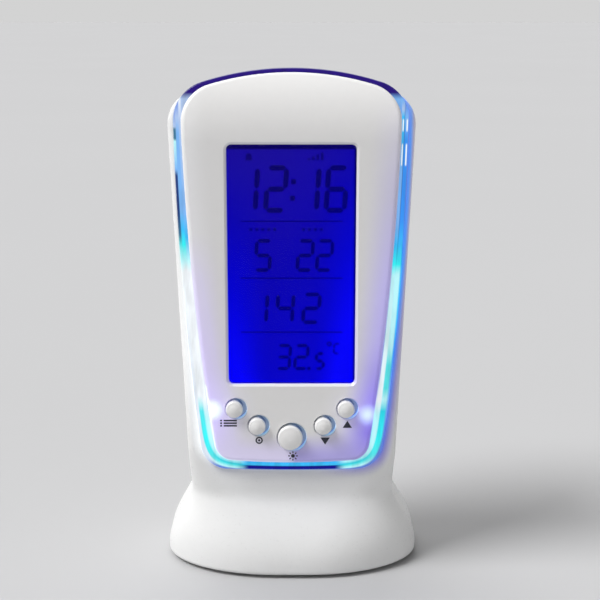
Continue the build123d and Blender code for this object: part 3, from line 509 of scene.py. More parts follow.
def panel_plastic():
    """White panel with painted light: lilac beside the lit ring, two lamps shining through, blue in the
    button holes.
    """
    made, tree, shader = moulding("panel_white", WHITE_PANEL, 0.34)
    spot = place(tree)
    from_edge = inside(tree, spot, "front_panel")
    edge = spread(tree, from_edge, 0.0, EDGE_REACH, 1.0, 0.0, True)
    sheen = spread(tree, from_edge, 0.0, SHEEN_REACH, SHEEN_LIGHT, 0.0, True)
    right = right_half(tree, spot)
    left = math(tree, "SUBTRACT", 1.0, right)
    on_left = product(tree, edge, left, heights(tree, spot, LEFT_PAINTED_TINT))
    on_right = product(tree, edge, right)
    tint(tree, shader, on_left, LILAC)
    tint(tree, shader, product(tree, on_right, heights(tree, spot, RIGHT_PAINTED_TINT)), VIOLET)
    light = spot_light(tree, spot)
    light = add_light(tree, light, product(tree, on_left, LEFT_LIGHT), LILAC)
    light = add_light(tree, light, product(tree, on_right, heights(tree, spot, RIGHT_LIGHT)), VIOLET)
    light = add_light(tree, light, product(tree, sheen, left), SNOW)
    light = add_light(tree, light, *hole_light(tree, spot))
    glow(tree, shader, light, PANEL_GLOW)
    return made


KEY_TURN = (-0.1, 0.6)      # how far a cap's side faces right
KEY_SHADE = (0.15, 0.9)      # and how dark the painted shade is there


def key_plastic():
    """White button with painted deep blue shade on the shaded side of its rim."""
    made, tree, shader = moulding("key_white", WHITE_KEY, 0.3)
    depth = math(tree, "SUBTRACT", dot(tree, place(tree), INWARD), face_depth)
    sunk = spread(tree, depth, -WALL_END, WALL_START, 0.0, 1.0)
    turned = spread(tree, facing(tree)[0], *KEY_TURN, *KEY_SHADE)
    # painted shade on the sunk side of the cap that faces right
    tint(tree, shader, product(tree, sunk, turned), NAVY)
    return made


# Ring: colours of its painted glow over the height in millimetres, on four lanes from the panel's edge
# outwards

LEFT_LANES = (
    [(30, ICE), (40, FROST), (80, FROST), (92, FROST), (120, STEEL)],
    [(30, ICE), (41, ICE), (46, SNOW), (79, SNOW), (82, ICE), (88, SKY), (94, CORNFLOWER), (117, STEEL),
     (122, FROST)],
    [(30, AQUA), (36, CYAN), (43, AQUA), (47, SNOW), (79.5, SNOW), (82, ICE), (86, CYAN), (90, SKY),
     (95, CORNFLOWER), (106, CORNFLOWER), (114, CORNFLOWER), (118, STEEL), (122, SLATE)],
    [(30, FROST), (79, SNOW), (82, ICE), (86, AQUA), (88.5, TEAL), (94, NAVY), (103.5, NAVY),
     (105, CORNFLOWER), (112, ICE), (112.6, TEAL), (115, TEAL), (115.6, STEEL), (122, SLATE)],
)
RIGHT_LANES = (
    [(30, AQUA), (42, ICE), (46, FROST), (52, PERIWINKLE), (60, SLATE), (70, PERIWINKLE), (78, PERIWINKLE),
     (81, SKY), (92, SLATE), (116, SLATE), (122, CORNFLOWER)],
    [(30, ICE), (42, ICE), (46, SNOW), (78, ICE), (81, CYAN), (86, SKY), (91, CORNFLOWER),
     (104, CORNFLOWER), (114, SKY), (118, SKY), (120, STEEL), (122, CORNFLOWER)],
    [(30, AQUA), (36, CYAN), (43, TURQUOISE), (46, ICE), (49, AQUA), (55, AQUA), (60, ICE), (78.5, ICE),
     (81, CYAN), (86, SKY), (92, AZURE), (112, AZURE), (118, CORNFLOWER), (122, SLATE)],
    [(30, SLATE), (38, SLATE), (46, CORNFLOWER), (58, AZURE), (66, SKY), (78, SKY), (84, AZURE), (100, SLATE),
     (116, SLATE), (122, PERIWINKLE)],
)
LEFT_EDGES = ((0.08, 0.18), (0.34, 0.48), (0.72, 0.80))
RIGHT_EDGES = ((0.08, 0.18), (0.42, 0.50), (0.80, 0.93))
# Painted reflections: heights in millimetres and lanes of two columns of dashes
DASHES = ((106, 111.3), (114.5, 117.4))
DASH_LANES = ((0.26, 0.38), (0.66, 0.80))
DASH_SOFT = 0.3 * MM
LANE_SOFT = 0.03
# Painted dark line in the ring's light on the right: its lane and shares over the height in millimetres
DARK_LINE = (0.42, 0.50)
DARK_SHARES = ((78, 0.0), (84, 0.35), (104, 0.5), (118, 0.5), (122, 0.0))
MIDDLE_RUN = ((0.1, PERIWINKLE), (0.2, SKY), (0.5, SKY), (0.6, DEEP_BLUE), (0.86, DEEP_BLUE), (0.95, SLATE))
CORNER_RUN = ((0.05, FROST), (0.22, ICE), (0.5, TURQUOISE), (0.62, AQUA), (0.85, ICE), (0.97, SLATE))
MIDDLE_REACH = (11 * MM, 14.5 * MM)
LOWER_TURN = (-3 * MM, 4 * MM)      # from the lanes at the sides to the run along the bottom
# where the painted glow turns to a dim indigo crest at the top
CREST_START = (122.4 * MM, 124.0 * MM)
# Painted streaks of brighter and dimmer light in the ring's glow
LIGHT_STREAKS = 90
STREAK_STRETCH = (6.0, 6.0, 1.0)
STREAK_STOPS = ((0.3, (0.8, 0.8, 0.8)), (0.62, WHITE))
RING_GLOW = 0.95
RING_BODY = (0.15, 0.15, 0.15)
RING_GLOSS = 400
RING_RIPPLE = 160


def window(tree, value, low, high, soft):
    """One between two values and nought outside them."""
    rise = spread(tree, value, low - soft, low + soft, 0.0, 1.0)
    fall = spread(tree, value, high - soft, high + soft, 1.0, 0.0)
    return math(tree, "MULTIPLY", rise, fall)


def lane_colours(tree, spot, share, lanes, edges):
    """Colour of the lane that a spot lies in, with soft edges between lanes."""
    colour = heights(tree, spot, lanes[0])
    for stops, (start, end) in zip(lanes[1:], edges):
        colour = blend(tree, spread(tree, share, start, end, 0.0, 1.0), colour, heights(tree, spot, stops))
    return colour


def ring_dashes(tree, spot, share):
    """Two columns of painted reflected dashes high on the right."""
    z = split(tree, spot)[2]
    columns = [window(tree, share, low, high, LANE_SOFT) for low, high in DASH_LANES]
    rows = [window(tree, z, low * MM, high * MM, DASH_SOFT) for low, high in DASHES]
    both = [math(tree, "MAXIMUM", *pair) for pair in (columns, rows)]
    return product(tree, *both, right_half(tree, spot))


def ring_colour(tree, spot):
    """Painted glow: blue lanes up both sides, a run along the bottom and a dim indigo crest."""
    x, y, z = split(tree, spot)
    from_outer = inside(tree, spot, "light_ring")
    from_panel = math(tree, "MULTIPLY", inside(tree, spot, "front_panel"), -1.0)
    share = math(tree, "DIVIDE", from_panel, math(tree, "ADD", from_panel, from_outer))
    left = lane_colours(tree, spot, share, LEFT_LANES, LEFT_EDGES)
    right = lane_colours(tree, spot, share, RIGHT_LANES, RIGHT_EDGES)
    dark = product(tree, window(tree, share, *DARK_LINE, LANE_SOFT), heights(tree, spot, DARK_SHARES))
    right = blend(tree, dark, right, NAVY)
    colour = blend(tree, right_half(tree, spot), left, right)
    colour = blend(tree, ring_dashes(tree, spot, share), colour, SNOW)
    from_side, from_low = distances(tree, spot, "light_ring")
    lower = spread(tree, math(tree, "SUBTRACT", from_side, from_low), *LOWER_TURN, 0.0, 1.0, True)
    middle = spread(tree, math(tree, "ABSOLUTE", x), *MIDDLE_REACH, 1.0, 0.0, True)
    run = blend(tree, middle, ramp(tree, share, CORNER_RUN), ramp(tree, share, MIDDLE_RUN))
    colour = blend(tree, lower, colour, run)
    return blend(tree, spread(tree, z, *CREST_START, 0.0, 1.0), colour, INDIGO)


def ring_acrylic():
    """Clear acrylic with the blue light that it carries up from the lamps painted on as glow."""
    made, tree, shader = new_material("ring_acrylic")
    spot = place(tree)
    streak = noise(tree, spot, LIGHT_STREAKS, 3, STREAK_STRETCH)
    colour = blend(tree, 1.0, ring_colour(tree, spot), ramp(tree, streak, STREAK_STOPS), "MULTIPLY")
    glow(tree, shader, colour, RING_GLOW)
    feed(tree, shader.inputs["Base Color"], blend(tree, 1.0, colour, RING_BODY, "MULTIPLY"))
    shader.inputs["Specular IOR Level"].default_value = 0.2
    uneven_gloss(tree, shader, noise(tree, spot, RING_GLOSS, 3), 0.12, 0.04)
    bump(tree, shader, noise(tree, spot, RING_RIPPLE), 0.01 * MM)
    return made


TOP_SHADOW = (2.1 * MM, 2.6 * MM)       # where the window's edge shades the display
RIGHT_SHADOW = (1.35 * MM, 1.65 * MM)
SHADOW_DEPTH = 0.7
SIDE_LIGHT = (0.25, 0.9)                # shares of the half-width over which it grows
LCD_DROP = 0.5                          # share of the light that comes from low down
LCD_SIDES = 0.5                         # and from the sides
LCD_LEAN = (-0.06, 0.12)                # the right is a little brighter than the left
LCD_STOPS = ((0.02, LCD_TOP), (0.3, LCD_MIDDLE), (0.55, LCD_LOW), (0.85, LCD_EDGE))
LCD_GLOSS = 900


def window_shadow(tree, x, z):
    """Shade of the window's upper and right edges on the display."""
    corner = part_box("display_lens")[1]
    above = spread(tree, math(tree, "SUBTRACT", corner.z, z), *TOP_SHADOW, SHADOW_DEPTH, 0.0)
    beside = spread(tree, math(tree, "SUBTRACT", corner.x, x), *RIGHT_SHADOW, SHADOW_DEPTH, 0.0)
    return math(tree, "MAXIMUM", above, beside)


def lcd_glow(name, share, rough):
    """Blue backlight, strongest low at both sides; share dims it for dark segments."""
    made, tree, shader = new_material(name)
    spot = place(tree)
    x, y, z = split(tree, spot)
    low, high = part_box("lcd_panel")
    drop = spread(tree, z, low.z, high.z, 1.0, 0.0)
    start, end = (part * high.x for part in SIDE_LIGHT)
    out = spread(tree, math(tree, "ABSOLUTE", x), start, end, 0.0, 1.0, True)
    value = math(tree, "MULTIPLY_ADD", drop, LCD_DROP, product(tree, out, drop, LCD_SIDES))
    value = math(tree, "ADD", value, spread(tree, x, low.x, high.x, *LCD_LEAN))
    colour = ramp(tree, value, [(stop, shade(tone, share)) for stop, tone in LCD_STOPS])
    glow(tree, shader, blend(tree, window_shadow(tree, x, z), colour, BLACK), 1.0)
    feed(tree, shader.inputs["Base Color"], BLACK)
    uneven_gloss(tree, shader, noise(tree, spot, LCD_GLOSS), rough, 0.05)
    shader.inputs["Specular IOR Level"].default_value = 0.0
    return made


LENS_IOR = 1.12
LENS_SMEAR = 60
SMEAR_RANGE = (0.35, 0.7)
SMEAR_ROUGH = 0.015


def lens_acrylic():
    """Clear pane with a faint anti-glare finish."""
    made, tree, shader = new_material("lens_acrylic")
    feed(tree, shader.inputs["Base Color"], LENS_CLEAR)
    shader.inputs["Transmission Weight"].default_value = 1.0
    shader.inputs["IOR"].default_value = LENS_IOR
    smear = noise(tree, place(tree), LENS_SMEAR, 3)
    feed(tree, shader.inputs["Roughness"], spread(tree, smear, *SMEAR_RANGE, 0.0, SMEAR_ROUGH))
    return made


METAL_CLOUD = 300
METAL_LINES = 1500


def metal(name, colour, rough, lines=(1.0, 1.0, 1.0)):
    """Bare or plated metal with fine lines, stretched as given."""
    made, tree, shader = new_material(name)
    spot = place(tree)
    cloudy(tree, shader, noise(tree, spot, METAL_CLOUD, 3), colour, 0.8)
    shader.inputs["Metallic"].default_value = 1.0
    brushed = noise(tree, spot, METAL_LINES, 3, lines)
    uneven_gloss(tree, shader, brushed, rough, 0.08)
    bump(tree, shader, brushed, 0.005 * MM)
    return made


RUBBER_CLOUD = 700
RUBBER_GLOSS = 300
RUBBER_TOOTH = 2500


def rubber(name, colour, rough=0.7):
    """Matt rubber or wire jacket with a fine tooth."""
    made, tree, shader = new_material(name)
    spot = place(tree)
    cloudy(tree, shader, noise(tree, spot, RUBBER_CLOUD, 4), colour, 0.7)
    uneven_gloss(tree, shader, noise(tree, spot, RUBBER_GLOSS), rough, 0.1)
    bump(tree, shader, noise(tree, spot, RUBBER_TOOTH, 3), 0.03 * MM)
    return made


RESIN_FLOW = 180


def resin(name, colour, rough):
    """Glossy cast resin or milky acrylic with faint flow marks."""
    made, tree, shader = new_material(name)
    flow = noise(tree, place(tree), RESIN_FLOW, 3)
    cloudy(tree, shader, flow, colour, 0.85)
    uneven_gloss(tree, shader, flow, rough + 0.01, 0.05)
    bump(tree, shader, flow, 0.01 * MM)
    return made


BOARD_TRACKS = 180
TRACK_WIDTH = 0.05
BOARD_GLOSS = 500


def board_green():
    """Solder resist with buried tracks."""
    made, tree, shader = new_material("board_green")
    spot = place(tree)
    mapping = tree.nodes.new("ShaderNodeMapping")
    mapping.inputs["Rotation"].default_value = (radians(90), 0, 0)
    tree.links.new(spot, mapping.inputs["Vector"])
    brick = tree.nodes.new("ShaderNodeTexBrick")
    brick.inputs["Scale"].default_value = BOARD_TRACKS
    brick.inputs["Mortar Size"].default_value = TRACK_WIDTH
    for socket, colour in (("Color1", BOARD_DARK), ("Color2", BOARD_LIGHT), ("Mortar", TRACK_GREEN)):
        feed(tree, brick.inputs[socket], colour)
    tree.links.new(mapping.outputs["Vector"], brick.inputs["Vector"])
    feed(tree, shader.inputs["Base Color"], brick.outputs["Color"])
    uneven_gloss(tree, shader, noise(tree, spot, BOARD_GLOSS), 0.375, 0.075)
    bump(tree, shader, brick.outputs["Fac"], 0.03 * MM)
    return made


JACKET_STOPS = ((0.0, JACKET_DARK), (0.715, JACKET_DARK), (0.72, JACKET_LINE), (0.735, JACKET_LINE),
                (0.74, JACKET_LIGHT))
JACKET_METAL = 0.25
CELL_END = (0.5, 0.6)       # how far up or down a surface faces where the bare end starts
CELL_GLOSS = 600
CELL_DENTS = 240


def cell_jacket(node, nub_up):
    """Plain two-colour jacket with a silver line, and bare steel ends."""
    made, tree, shader = new_material(node + "_jacket")
    spot = place(tree)
    low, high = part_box(node)
    first, last = (0.0, 1.0) if nub_up else (1.0, 0.0)
    up = spread(tree, split(tree, spot)[2], low.z, high.z, first, last)
    end = spread(tree, math(tree, "ABSOLUTE", facing(tree)[2]), *CELL_END, 0.0, 1.0)
    feed(tree, shader.inputs["Base Color"], blend(tree, end, ramp(tree, up, JACKET_STOPS), BARE_STEEL))
    feed(tree, shader.inputs["Metallic"], spread(tree, end, 0.0, 1.0, JACKET_METAL, 1.0))
    uneven_gloss(tree, shader, noise(tree, spot, CELL_GLOSS, 3), 0.28, 0.06)
    bump(tree, shader, noise(tree, spot, CELL_DENTS), 0.002 * MM)
    return made


INK_CLOUD = 2500
INK_GLOSS = 900
INK_STOPS = ((0.3, shade(INK, 0.8)), (0.75, shade(INK, 1.25)))


def ink():
    """Printed ink, a little uneven."""
    made, tree, shader = new_material("label_ink")
    spot = place(tree)
    feed(tree, shader.inputs["Base Color"], ramp(tree, noise(tree, spot, INK_CLOUD, 3), INK_STOPS))
    uneven_gloss(tree, shader, noise(tree, spot, INK_GLOSS), 0.525, 0.075)
    return made


PAPER_CLOUD = 3
PAPER_TOOTH = 900


def floor_paper():
    """Pale matt paper with a faint tooth."""
    made, tree, shader = new_material("floor_paper")
    spot = place(tree)
    cloudy(tree, shader, noise(tree, spot, PAPER_CLOUD, 3), FLOOR, 0.985)
    shader.inputs["Roughness"].default_value = 0.9
    shader.inputs["Specular IOR Level"].default_value = 0.0
    bump(tree, shader, noise(tree, spot, PAPER_TOOTH, 3), 0.03 * MM)
    return made


def dress_nodes():
    """Gives every solid of the frame its finish."""
    key = key_plastic()
    steel = metal("zinc_steel", ZINC, 0.35)
    nickel = metal("nickel_strip", NICKEL, 0.3, (0.1, 1.0, 1.0))
    dark = plastic("dark_moulding", CHARCOAL, 0.5)
    finishes = {
        "body_shell": shell_plastic(),
        "front_panel": panel_plastic(),
        "light_ring": ring_acrylic(),
        "display_lens": lens_acrylic(),
        "lcd_panel": lcd_glow("lcd_blue", 1.0, 0.25),
        "lcd_frame": dark,
        "backlight_plate": resin("milky_acrylic", MILK, 0.4),
        "backlight_lamps": resin("lamp_epoxy", LAMP_EPOXY, 0.15),
        "contact_strip": rubber("layered_rubber", STRIP_GREY),
        "main_board": board_green(),
        "switch_housings": dark,
        "ring_lamps": resin("ring_lamp_epoxy", RING_EPOXY, 0.12),
        "chip": resin("black_resin", CHIP_BLACK, 0.25),
        "quartz_crystal": steel,
        "thermistor": resin("bead_resin", BEAD_GREEN, 0.3),
        "base_plate": plastic("base_white", WHITE_BASE, 0.55, 2 * GRAIN_DEPTH),
        "rubber_feet": rubber("foot_rubber", FOOT_GREY),
        "sounder_disc": metal("bare_brass", BRASS, 0.3),
        "sounder_ceramic": resin("silvered_ceramic", CERAMIC, 0.35),
        "battery_door": plastic("door_white", WHITE_SHELL, 0.32),
        "battery_left": cell_jacket("battery_left", True),
        "battery_middle": cell_jacket("battery_middle", False),
        "battery_right": cell_jacket("battery_right", True),
        "battery_contacts": nickel,
        "battery_springs": metal("spring_wire", SPRING_STEEL, 0.28),
        "panel_screws": steel,
        "board_screws": steel,
        "base_screws": steel,
        "battery_wires": rubber("wire_red", WIRE_RED, 0.45),
        "sounder_wires": rubber("wire_black", WIRE_BLACK, 0.45),
    }
    for name, solid in NODES.items():
        finish = finishes.get(name)
        if name.endswith("_button"):
            finish = key
        elif name.endswith("_plunger"):
            finish = dark
        for slot in solid.material_slots:
            slot.material = finish


# Flat marks on the face and on the display, with outlines in millimetres

def finish_piece(name, bm, material, body):
    """Makes a piece of the mesh, dresses it and lets it ride on a body."""
    mesh = bpy.data.meshes.new(name)
    bmesh.ops.recalc_face_normals(bm, faces=bm.faces)
    bm.to_mesh(mesh)
    bm.free()
    piece = bpy.data.objects.new(name, mesh)
    bpy.context.scene.collection.objects.link(piece)
    mesh.materials.append(material)
    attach(piece, body)


def add_plate(bm, outline, front, back):
    """Closed plate from an outline in millimetres, between two depths."""
    rows = [[bm.verts.new(on_face(x * MM, z * MM, d)) for x, z in outline] for d in (front, back)]
    count = len(outline)
    bm.faces.new(rows[0])
    bm.faces.new(rows[1][::-1])
    for n in range(count):
        after = (n + 1) % count
        bm.faces.new((rows[0][n], rows[0][after], rows[1][after], rows[1][n]))


def add_band(bm, outer, inner, front, back):
    """Closed band between two outlines with as many points each."""
    loops = []
    for outline, depth in ((outer, front), (inner, front), (inner, back), (outer, back)):
        loops.append([bm.verts.new(on_face(x * MM, z * MM, depth)) for x, z in outline])
    count = len(outer)
    for n, loop in enumerate(loops):
        beyond = loops[(n + 1) % len(loops)]
        for k in range(count):
            after = (k + 1) % count
            bm.faces.new((loop[k], loop[after], beyond[after], beyond[k]))


def circle(x, z, radius, count=32):
    """Outline of a circle."""
    turns = [2 * pi * n / count for n in range(count)]
    return [(x + radius * cos(t), z + radius * sin(t)) for t in turns]


def bar(x0, x1, z0, z1):
    """Outline of an upright rectangle."""
    return [(x0, z0), (x1, z0), (x1, z1), (x0, z1)]


DIGIT_SEGMENTS = {
    "0": "abcdef", "1": "bc", "2": "abged", "3": "abgcd", "4": "fgbc", "5": "afgcd",
    "6": "afgedc", "7": "abc", "8": "abcdefg", "9": "abcdfg", "C": "afed",
}
SEGMENT_ENDS = {
    "a": ((0, 2), (1, 2)), "b": ((1, 2), (1, 1)), "c": ((1, 1), (1, 0)), "d": ((0, 0), (1, 0)),
    "e": ((0, 1), (0, 0)), "f": ((0, 2), (0, 1)), "g": ((0, 1), (1, 1)),
}
SLANT = tan(radians(4))
SEGMENT_GAP = 0.12


def segment(start, end, half):
    """Six-sided bar between two points, pointed at both ends."""
    a, b = Vector(start), Vector(end)
    along = (b - a).normalized()
    a, b = a + along * SEGMENT_GAP, b - along * SEGMENT_GAP
    step = along * half
    side = Vector((-step.y, step.x))
    return [a, a + step + side, b - step + side, b, b - step - side, a + step - side]


def digit(symbol, left, low, width, height, stroke):
    """Outlines of one seven-segment sign, leaning a little to the right."""
    half = stroke / 2
    outlines = []
    for name in DIGIT_SEGMENTS[symbol]:
        ends = []
        for column, row in SEGMENT_ENDS[name]:
            x = left + half + column * (width - stroke)
            z = low + half + row * (height - stroke) / 2
            ends.append((x, z))
        outline = segment(*ends, half)
        outlines.append([(x + (z - low) * SLANT, z) for x, z in outline])
    return outlines


def row_of_digits(text, lefts, low, width, height, stroke):
    """Outlines of several signs in a row."""
    outlines = []
    for symbol, left in zip(text, lefts):
        outlines += digit(symbol, left, low, width, height, stroke)
    return outlines


# Places and sizes on the display in millimetres

TIME_LOW, TIME_HEIGHT, TIME_WIDTH, TIME_STROKE = 94.6, 11.9, 5.9, 1.3
TIME_LEFTS = (-14.4, -7.2, 0.9, 7.9)
DATE_LOW, DATE_HEIGHT, DATE_WIDTH, DATE_STROKE = 79.6, 8.4, 4.5, 0.95
DATE_LEFTS = (-9.7, 0.9, 5.8)
DAY_LOW, DAY_HEIGHT, DAY_WIDTH, DAY_STROKE = 66.1, 8.2, 4.9, 1.0
DAY_LEFTS = (-11.0, -4.4, 2.3)
HEAT_LOW, HEAT_HEIGHT, HEAT_WIDTH, HEAT_STROKE = 54.0, 6.9, 3.9, 0.85
HEAT_LEFTS = (-4.2, 0.3)
TENTH_LEFT, TENTH_WIDTH, TENTH_HEIGHT = 5.7, 2.7, 4.8
UNIT_LEFT, UNIT_LOW, UNIT_WIDTH, UNIT_HEIGHT, UNIT_STROKE = 10.5, 58.2, 1.9, 3.0, 0.45
DEGREE = (9.6, 60.9, 0.65, 0.3)
COLON_X, COLON_Z, COLON_SIZE = 0.0, (98.3, 102.4), 1.25
RULES = (92.5, 78.0, 64.0)
RULE_HALF, RULE_THICK = 12.9, 0.35
NUMERAL_LIGHT = 0.38        # shares of the backlight that dark segments let through
RULE_LIGHT = 0.5
CAPTION_Z = 90.4
CAPTIONS = ((-10.6, 5), (2.6, 4))
CAPTION_PITCH, CAPTION_WIDTH, CAPTION_HALF = 1.5, 0.8, 0.4
ICON_Z = 108.6
BAR_COUNT, BAR_LEFT, BAR_PITCH, BAR_WIDTH = 4, 4.0, 1.1, 0.7
BAR_LOW, BAR_HIGH, BAR_STEP = ICON_Z - 0.9, ICON_Z - 0.3, 0.45
BELL_X, BELL_STEPS = -10.6, 8
BELL_HALF, BELL_RISE, BELL_LIFT = 0.75, 0.8, 0.1
BELL_BRIM, BELL_NECK, BELL_FOOT = 1.1, -0.5, -0.9
FILM_HALF = 0.02 * MM       # the film lies half in the glass and half in the lens
FILM_MARGIN = 0.3 * MM
SEGMENT_LIFT = 0.05 * MM


def display_film():
    """Front film of the display, a little smaller than the lens before it."""
    low, high = (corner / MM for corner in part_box("display_lens"))
    margin = FILM_MARGIN / MM
    bm = bmesh.new()
    outline = bar(low.x + margin, high.x - margin, low.z + margin, high.z - margin)
    add_plate(bm, outline, lcd_depth - FILM_HALF, lcd_depth + FILM_HALF)
    finish_piece("display_film", bm, lcd_glow("lcd_film", 1.0, 0.25), "clock")


def colon():
    """Two leaning dots between the hours and the minutes."""
    half = COLON_SIZE / 2
    dots = []
    for z in COLON_Z:
        x = COLON_X + (z - TIME_LOW) * SLANT
        dots.append(bar(x - half, x + half, z - half, z + half))
    return dots


def display_numerals():
    """Time, date, day of the year and warmth in seven-segment numerals."""
    outlines = row_of_digits("1216", TIME_LEFTS, TIME_LOW, TIME_WIDTH, TIME_HEIGHT, TIME_STROKE)
    outlines += colon()
    outlines += row_of_digits("522", DATE_LEFTS, DATE_LOW, DATE_WIDTH, DATE_HEIGHT, DATE_STROKE)
    outlines += row_of_digits("142", DAY_LEFTS, DAY_LOW, DAY_WIDTH, DAY_HEIGHT, DAY_STROKE)
    outlines += row_of_digits("32", HEAT_LEFTS, HEAT_LOW, HEAT_WIDTH, HEAT_HEIGHT, HEAT_STROKE)
    outlines += digit("5", TENTH_LEFT, HEAT_LOW, TENTH_WIDTH, TENTH_HEIGHT, HEAT_STROKE)
    point = HEAT_STROKE
    outlines.append(bar(TENTH_LEFT - 2 * point, TENTH_LEFT - point, HEAT_LOW, HEAT_LOW + point))
    outlines += digit("C", UNIT_LEFT, UNIT_LOW, UNIT_WIDTH, UNIT_HEIGHT, UNIT_STROKE)
    bm = bmesh.new()
    front, back = lcd_depth - SEGMENT_LIFT, lcd_depth
    for outline in outlines:
        add_plate(bm, outline, front, back)
    x, z, outer, inner = DEGREE
    add_band(bm, circle(x, z, outer), circle(x, z, inner), front, back)
    finish_piece("display_numerals", bm, lcd_glow("lcd_dark", NUMERAL_LIGHT, 0.3), "clock")


def bell(x, z):
    """Outline of a small alarm bell."""
    turns = [pi * n / BELL_STEPS for n in range(BELL_STEPS + 1)]
    dome = [(x + BELL_HALF * cos(t), z + BELL_LIFT + BELL_RISE * sin(t)) for t in turns]
    left = [(x - BELL_HALF, z + BELL_NECK), (x - BELL_BRIM, z + BELL_FOOT)]
    right = [(x + BELL_BRIM, z + BELL_FOOT), (x + BELL_HALF, z + BELL_NECK)]
    return dome + left + right


def display_rules():
    """Thin rules between the rows, two rows of dots, four rising bars and a bell."""
    half = RULE_THICK / 2
    outlines = [bar(-RULE_HALF, RULE_HALF, z - half, z + half) for z in RULES]
    for left, count in CAPTIONS:
        for n in range(count):
            x = left + CAPTION_PITCH * n
            outlines.append(bar(x, x + CAPTION_WIDTH, CAPTION_Z - CAPTION_HALF, CAPTION_Z + CAPTION_HALF))
    for n in range(BAR_COUNT):
        x = BAR_LEFT + BAR_PITCH * n
        outlines.append(bar(x, x + BAR_WIDTH, BAR_LOW, BAR_HIGH + BAR_STEP * n))
    outlines.append(bell(BELL_X, ICON_Z))
    bm = bmesh.new()
    for outline in outlines:
        add_plate(bm, outline, lcd_depth - SEGMENT_LIFT, lcd_depth)
    finish_piece("display_rules", bm, lcd_glow("lcd_dim", RULE_LIGHT, 0.3), "clock")


# Signs printed under the buttons, with outlines in millimetres

MARK_LIFT = 0.03 * MM
MARK_SINK = 0.01 * MM
MODE_MARK = (-16.0, 40.7)
SET_MARK = (-8.4, 36.1)
LIGHT_MARK = (0.3, 31.9)
DOWN_MARK = (8.6, 35.9)
UP_MARK = (14.3, 40.4)
MARK_HALF = 0.95
LINE_PITCH, LINE_HALF = 0.7, 0.2
LINE_ENDS = ((-1.5, 1.9), (-2.4, -1.9))
SET_HOLE, SET_DOT = 0.62 * MARK_HALF, 0.3
SUN_RADIUS = 0.5
RAY_COUNT, RAY_START, RAY_END, RAY_HALF = 8, 0.75, 1.25, 0.14
ARROW_HALF = 1.2


def list_sign(x, z):
    """Three lines, each with a dot before it."""
    outlines = []
    for n in (-1, 0, 1):
        middle = z + LINE_PITCH * n
        for start, end in LINE_ENDS:
            outlines.append(bar(x + start, x + end, middle - LINE_HALF, middle + LINE_HALF))
    return outlines


def sun_rays(x, z):
    """Bars that stand round a sun."""
    ray = bar(RAY_START, RAY_END, -RAY_HALF, RAY_HALF)
    outlines = []
    for n in range(RAY_COUNT):
        t = 2 * pi * n / RAY_COUNT
        outlines.append([(x + r * cos(t) - s * sin(t), z + r * sin(t) + s * cos(t)) for r, s in ray])
    return outlines


def arrow(x, z, turn):
    """Triangle that points up for a turn of 1 and down for -1."""
    tip = turn * MARK_HALF
    return [(x - ARROW_HALF, z - tip), (x + ARROW_HALF, z - tip), (x, z + tip)]


def button_marks():
    """Plain signs printed under the buttons: a list, a ring, a sun and two arrows."""
    outlines = list_sign(*MODE_MARK)
    outlines.append(circle(*SET_MARK, SET_DOT, 16))
    outlines.append(circle(*LIGHT_MARK, SUN_RADIUS, 20))
    outlines += sun_rays(*LIGHT_MARK)
    outlines += [arrow(*UP_MARK, 1), arrow(*DOWN_MARK, -1)]
    bm = bmesh.new()
    front, back = face_depth - MARK_LIFT, face_depth + MARK_SINK
    for outline in outlines:
        add_plate(bm, outline, front, back)
    add_band(bm, circle(*SET_MARK, MARK_HALF), circle(*SET_MARK, SET_HOLE), front, back)
    finish_piece("button_marks", bm, ink(), "clock")


# Stage

def aim(thing, spot):
    """Turns a lamp towards a spot."""
    thing.rotation_euler = (spot - thing.location).to_track_quat("-Z", "Y").to_euler()


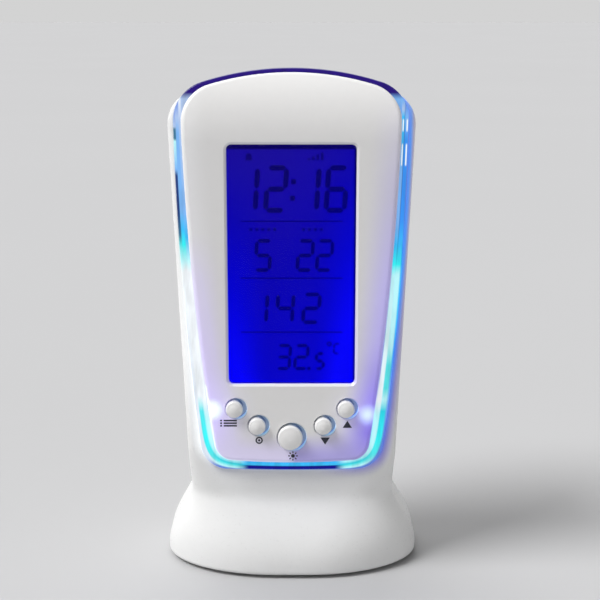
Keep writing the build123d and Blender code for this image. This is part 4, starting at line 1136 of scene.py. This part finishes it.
def sun_light(name, where, strength, angle):
    """Wide, even light that falls from a place towards the clock."""
    lamp = bpy.data.lights.new(name, "SUN")
    lamp.energy = strength
    lamp.angle = radians(angle)
    thing = bpy.data.objects.new(name, lamp)
    bpy.context.scene.collection.objects.link(thing)
    thing.location = where
    aim(thing, AIM)


FLOOR_HALF = 9.0


def stage():
    """Pale floor that runs out to the backdrop on every side."""
    bm = bmesh.new()
    corners = ((-1, -1), (1, -1), (1, 1), (-1, 1))
    bm.faces.new([bm.verts.new((FLOOR_HALF * x, FLOOR_HALF * y, 0)) for x, y in corners])
    mesh = bpy.data.meshes.new("floor")
    bm.to_mesh(mesh)
    bm.free()
    floor = bpy.data.objects.new("floor", mesh)
    bpy.context.scene.collection.objects.link(floor)
    mesh.materials.append(floor_paper())


def world():
    """Soft light from all round, and a pale backdrop for the camera and for reflections."""
    made = bpy.data.worlds.new("studio")
    made.use_nodes = True
    tree = made.node_tree
    sky = tree.nodes["Background"]
    sky.inputs["Color"].default_value = (*WHITE, 1.0)
    path = tree.nodes.new("ShaderNodeLightPath")
    seen = path.outputs["Is Camera Ray"]
    for kind in ("Is Glossy Ray", "Is Transmission Ray"):
        seen = math(tree, "MAXIMUM", seen, path.outputs[kind])
    feed(tree, sky.inputs["Strength"], spread(tree, seen, 0.0, 1.0, WORLD_LIGHT, BACKDROP_LIGHT))
    bpy.context.scene.world = made


def camera():
    """Camera close before the clock and a little above it, as for the photo."""
    lens = bpy.data.cameras.new("photo_camera")
    lens.lens = CAMERA_LENS
    lens.clip_start = CAMERA_NEAR
    thing = bpy.data.objects.new("photo_camera", lens)
    bpy.context.scene.collection.objects.link(thing)
    thing.location = CAMERA_PLACE
    thing.rotation_euler = (radians(90 - CAMERA_PITCH), 0, 0)
    bpy.context.scene.camera = thing


dress_nodes()
display_film()
display_numerals()
display_rules()
button_marks()
stage()
world()
sun_light("key", KEY_PLACE, KEY_STRENGTH, KEY_ANGLE)
sun_light("top", TOP_PLACE, TOP_STRENGTH, TOP_ANGLE)
sun_light("fill", FILL_PLACE, FILL_STRENGTH, FILL_ANGLE)
camera()
bpy.context.scene.view_settings.view_transform = "Standard"
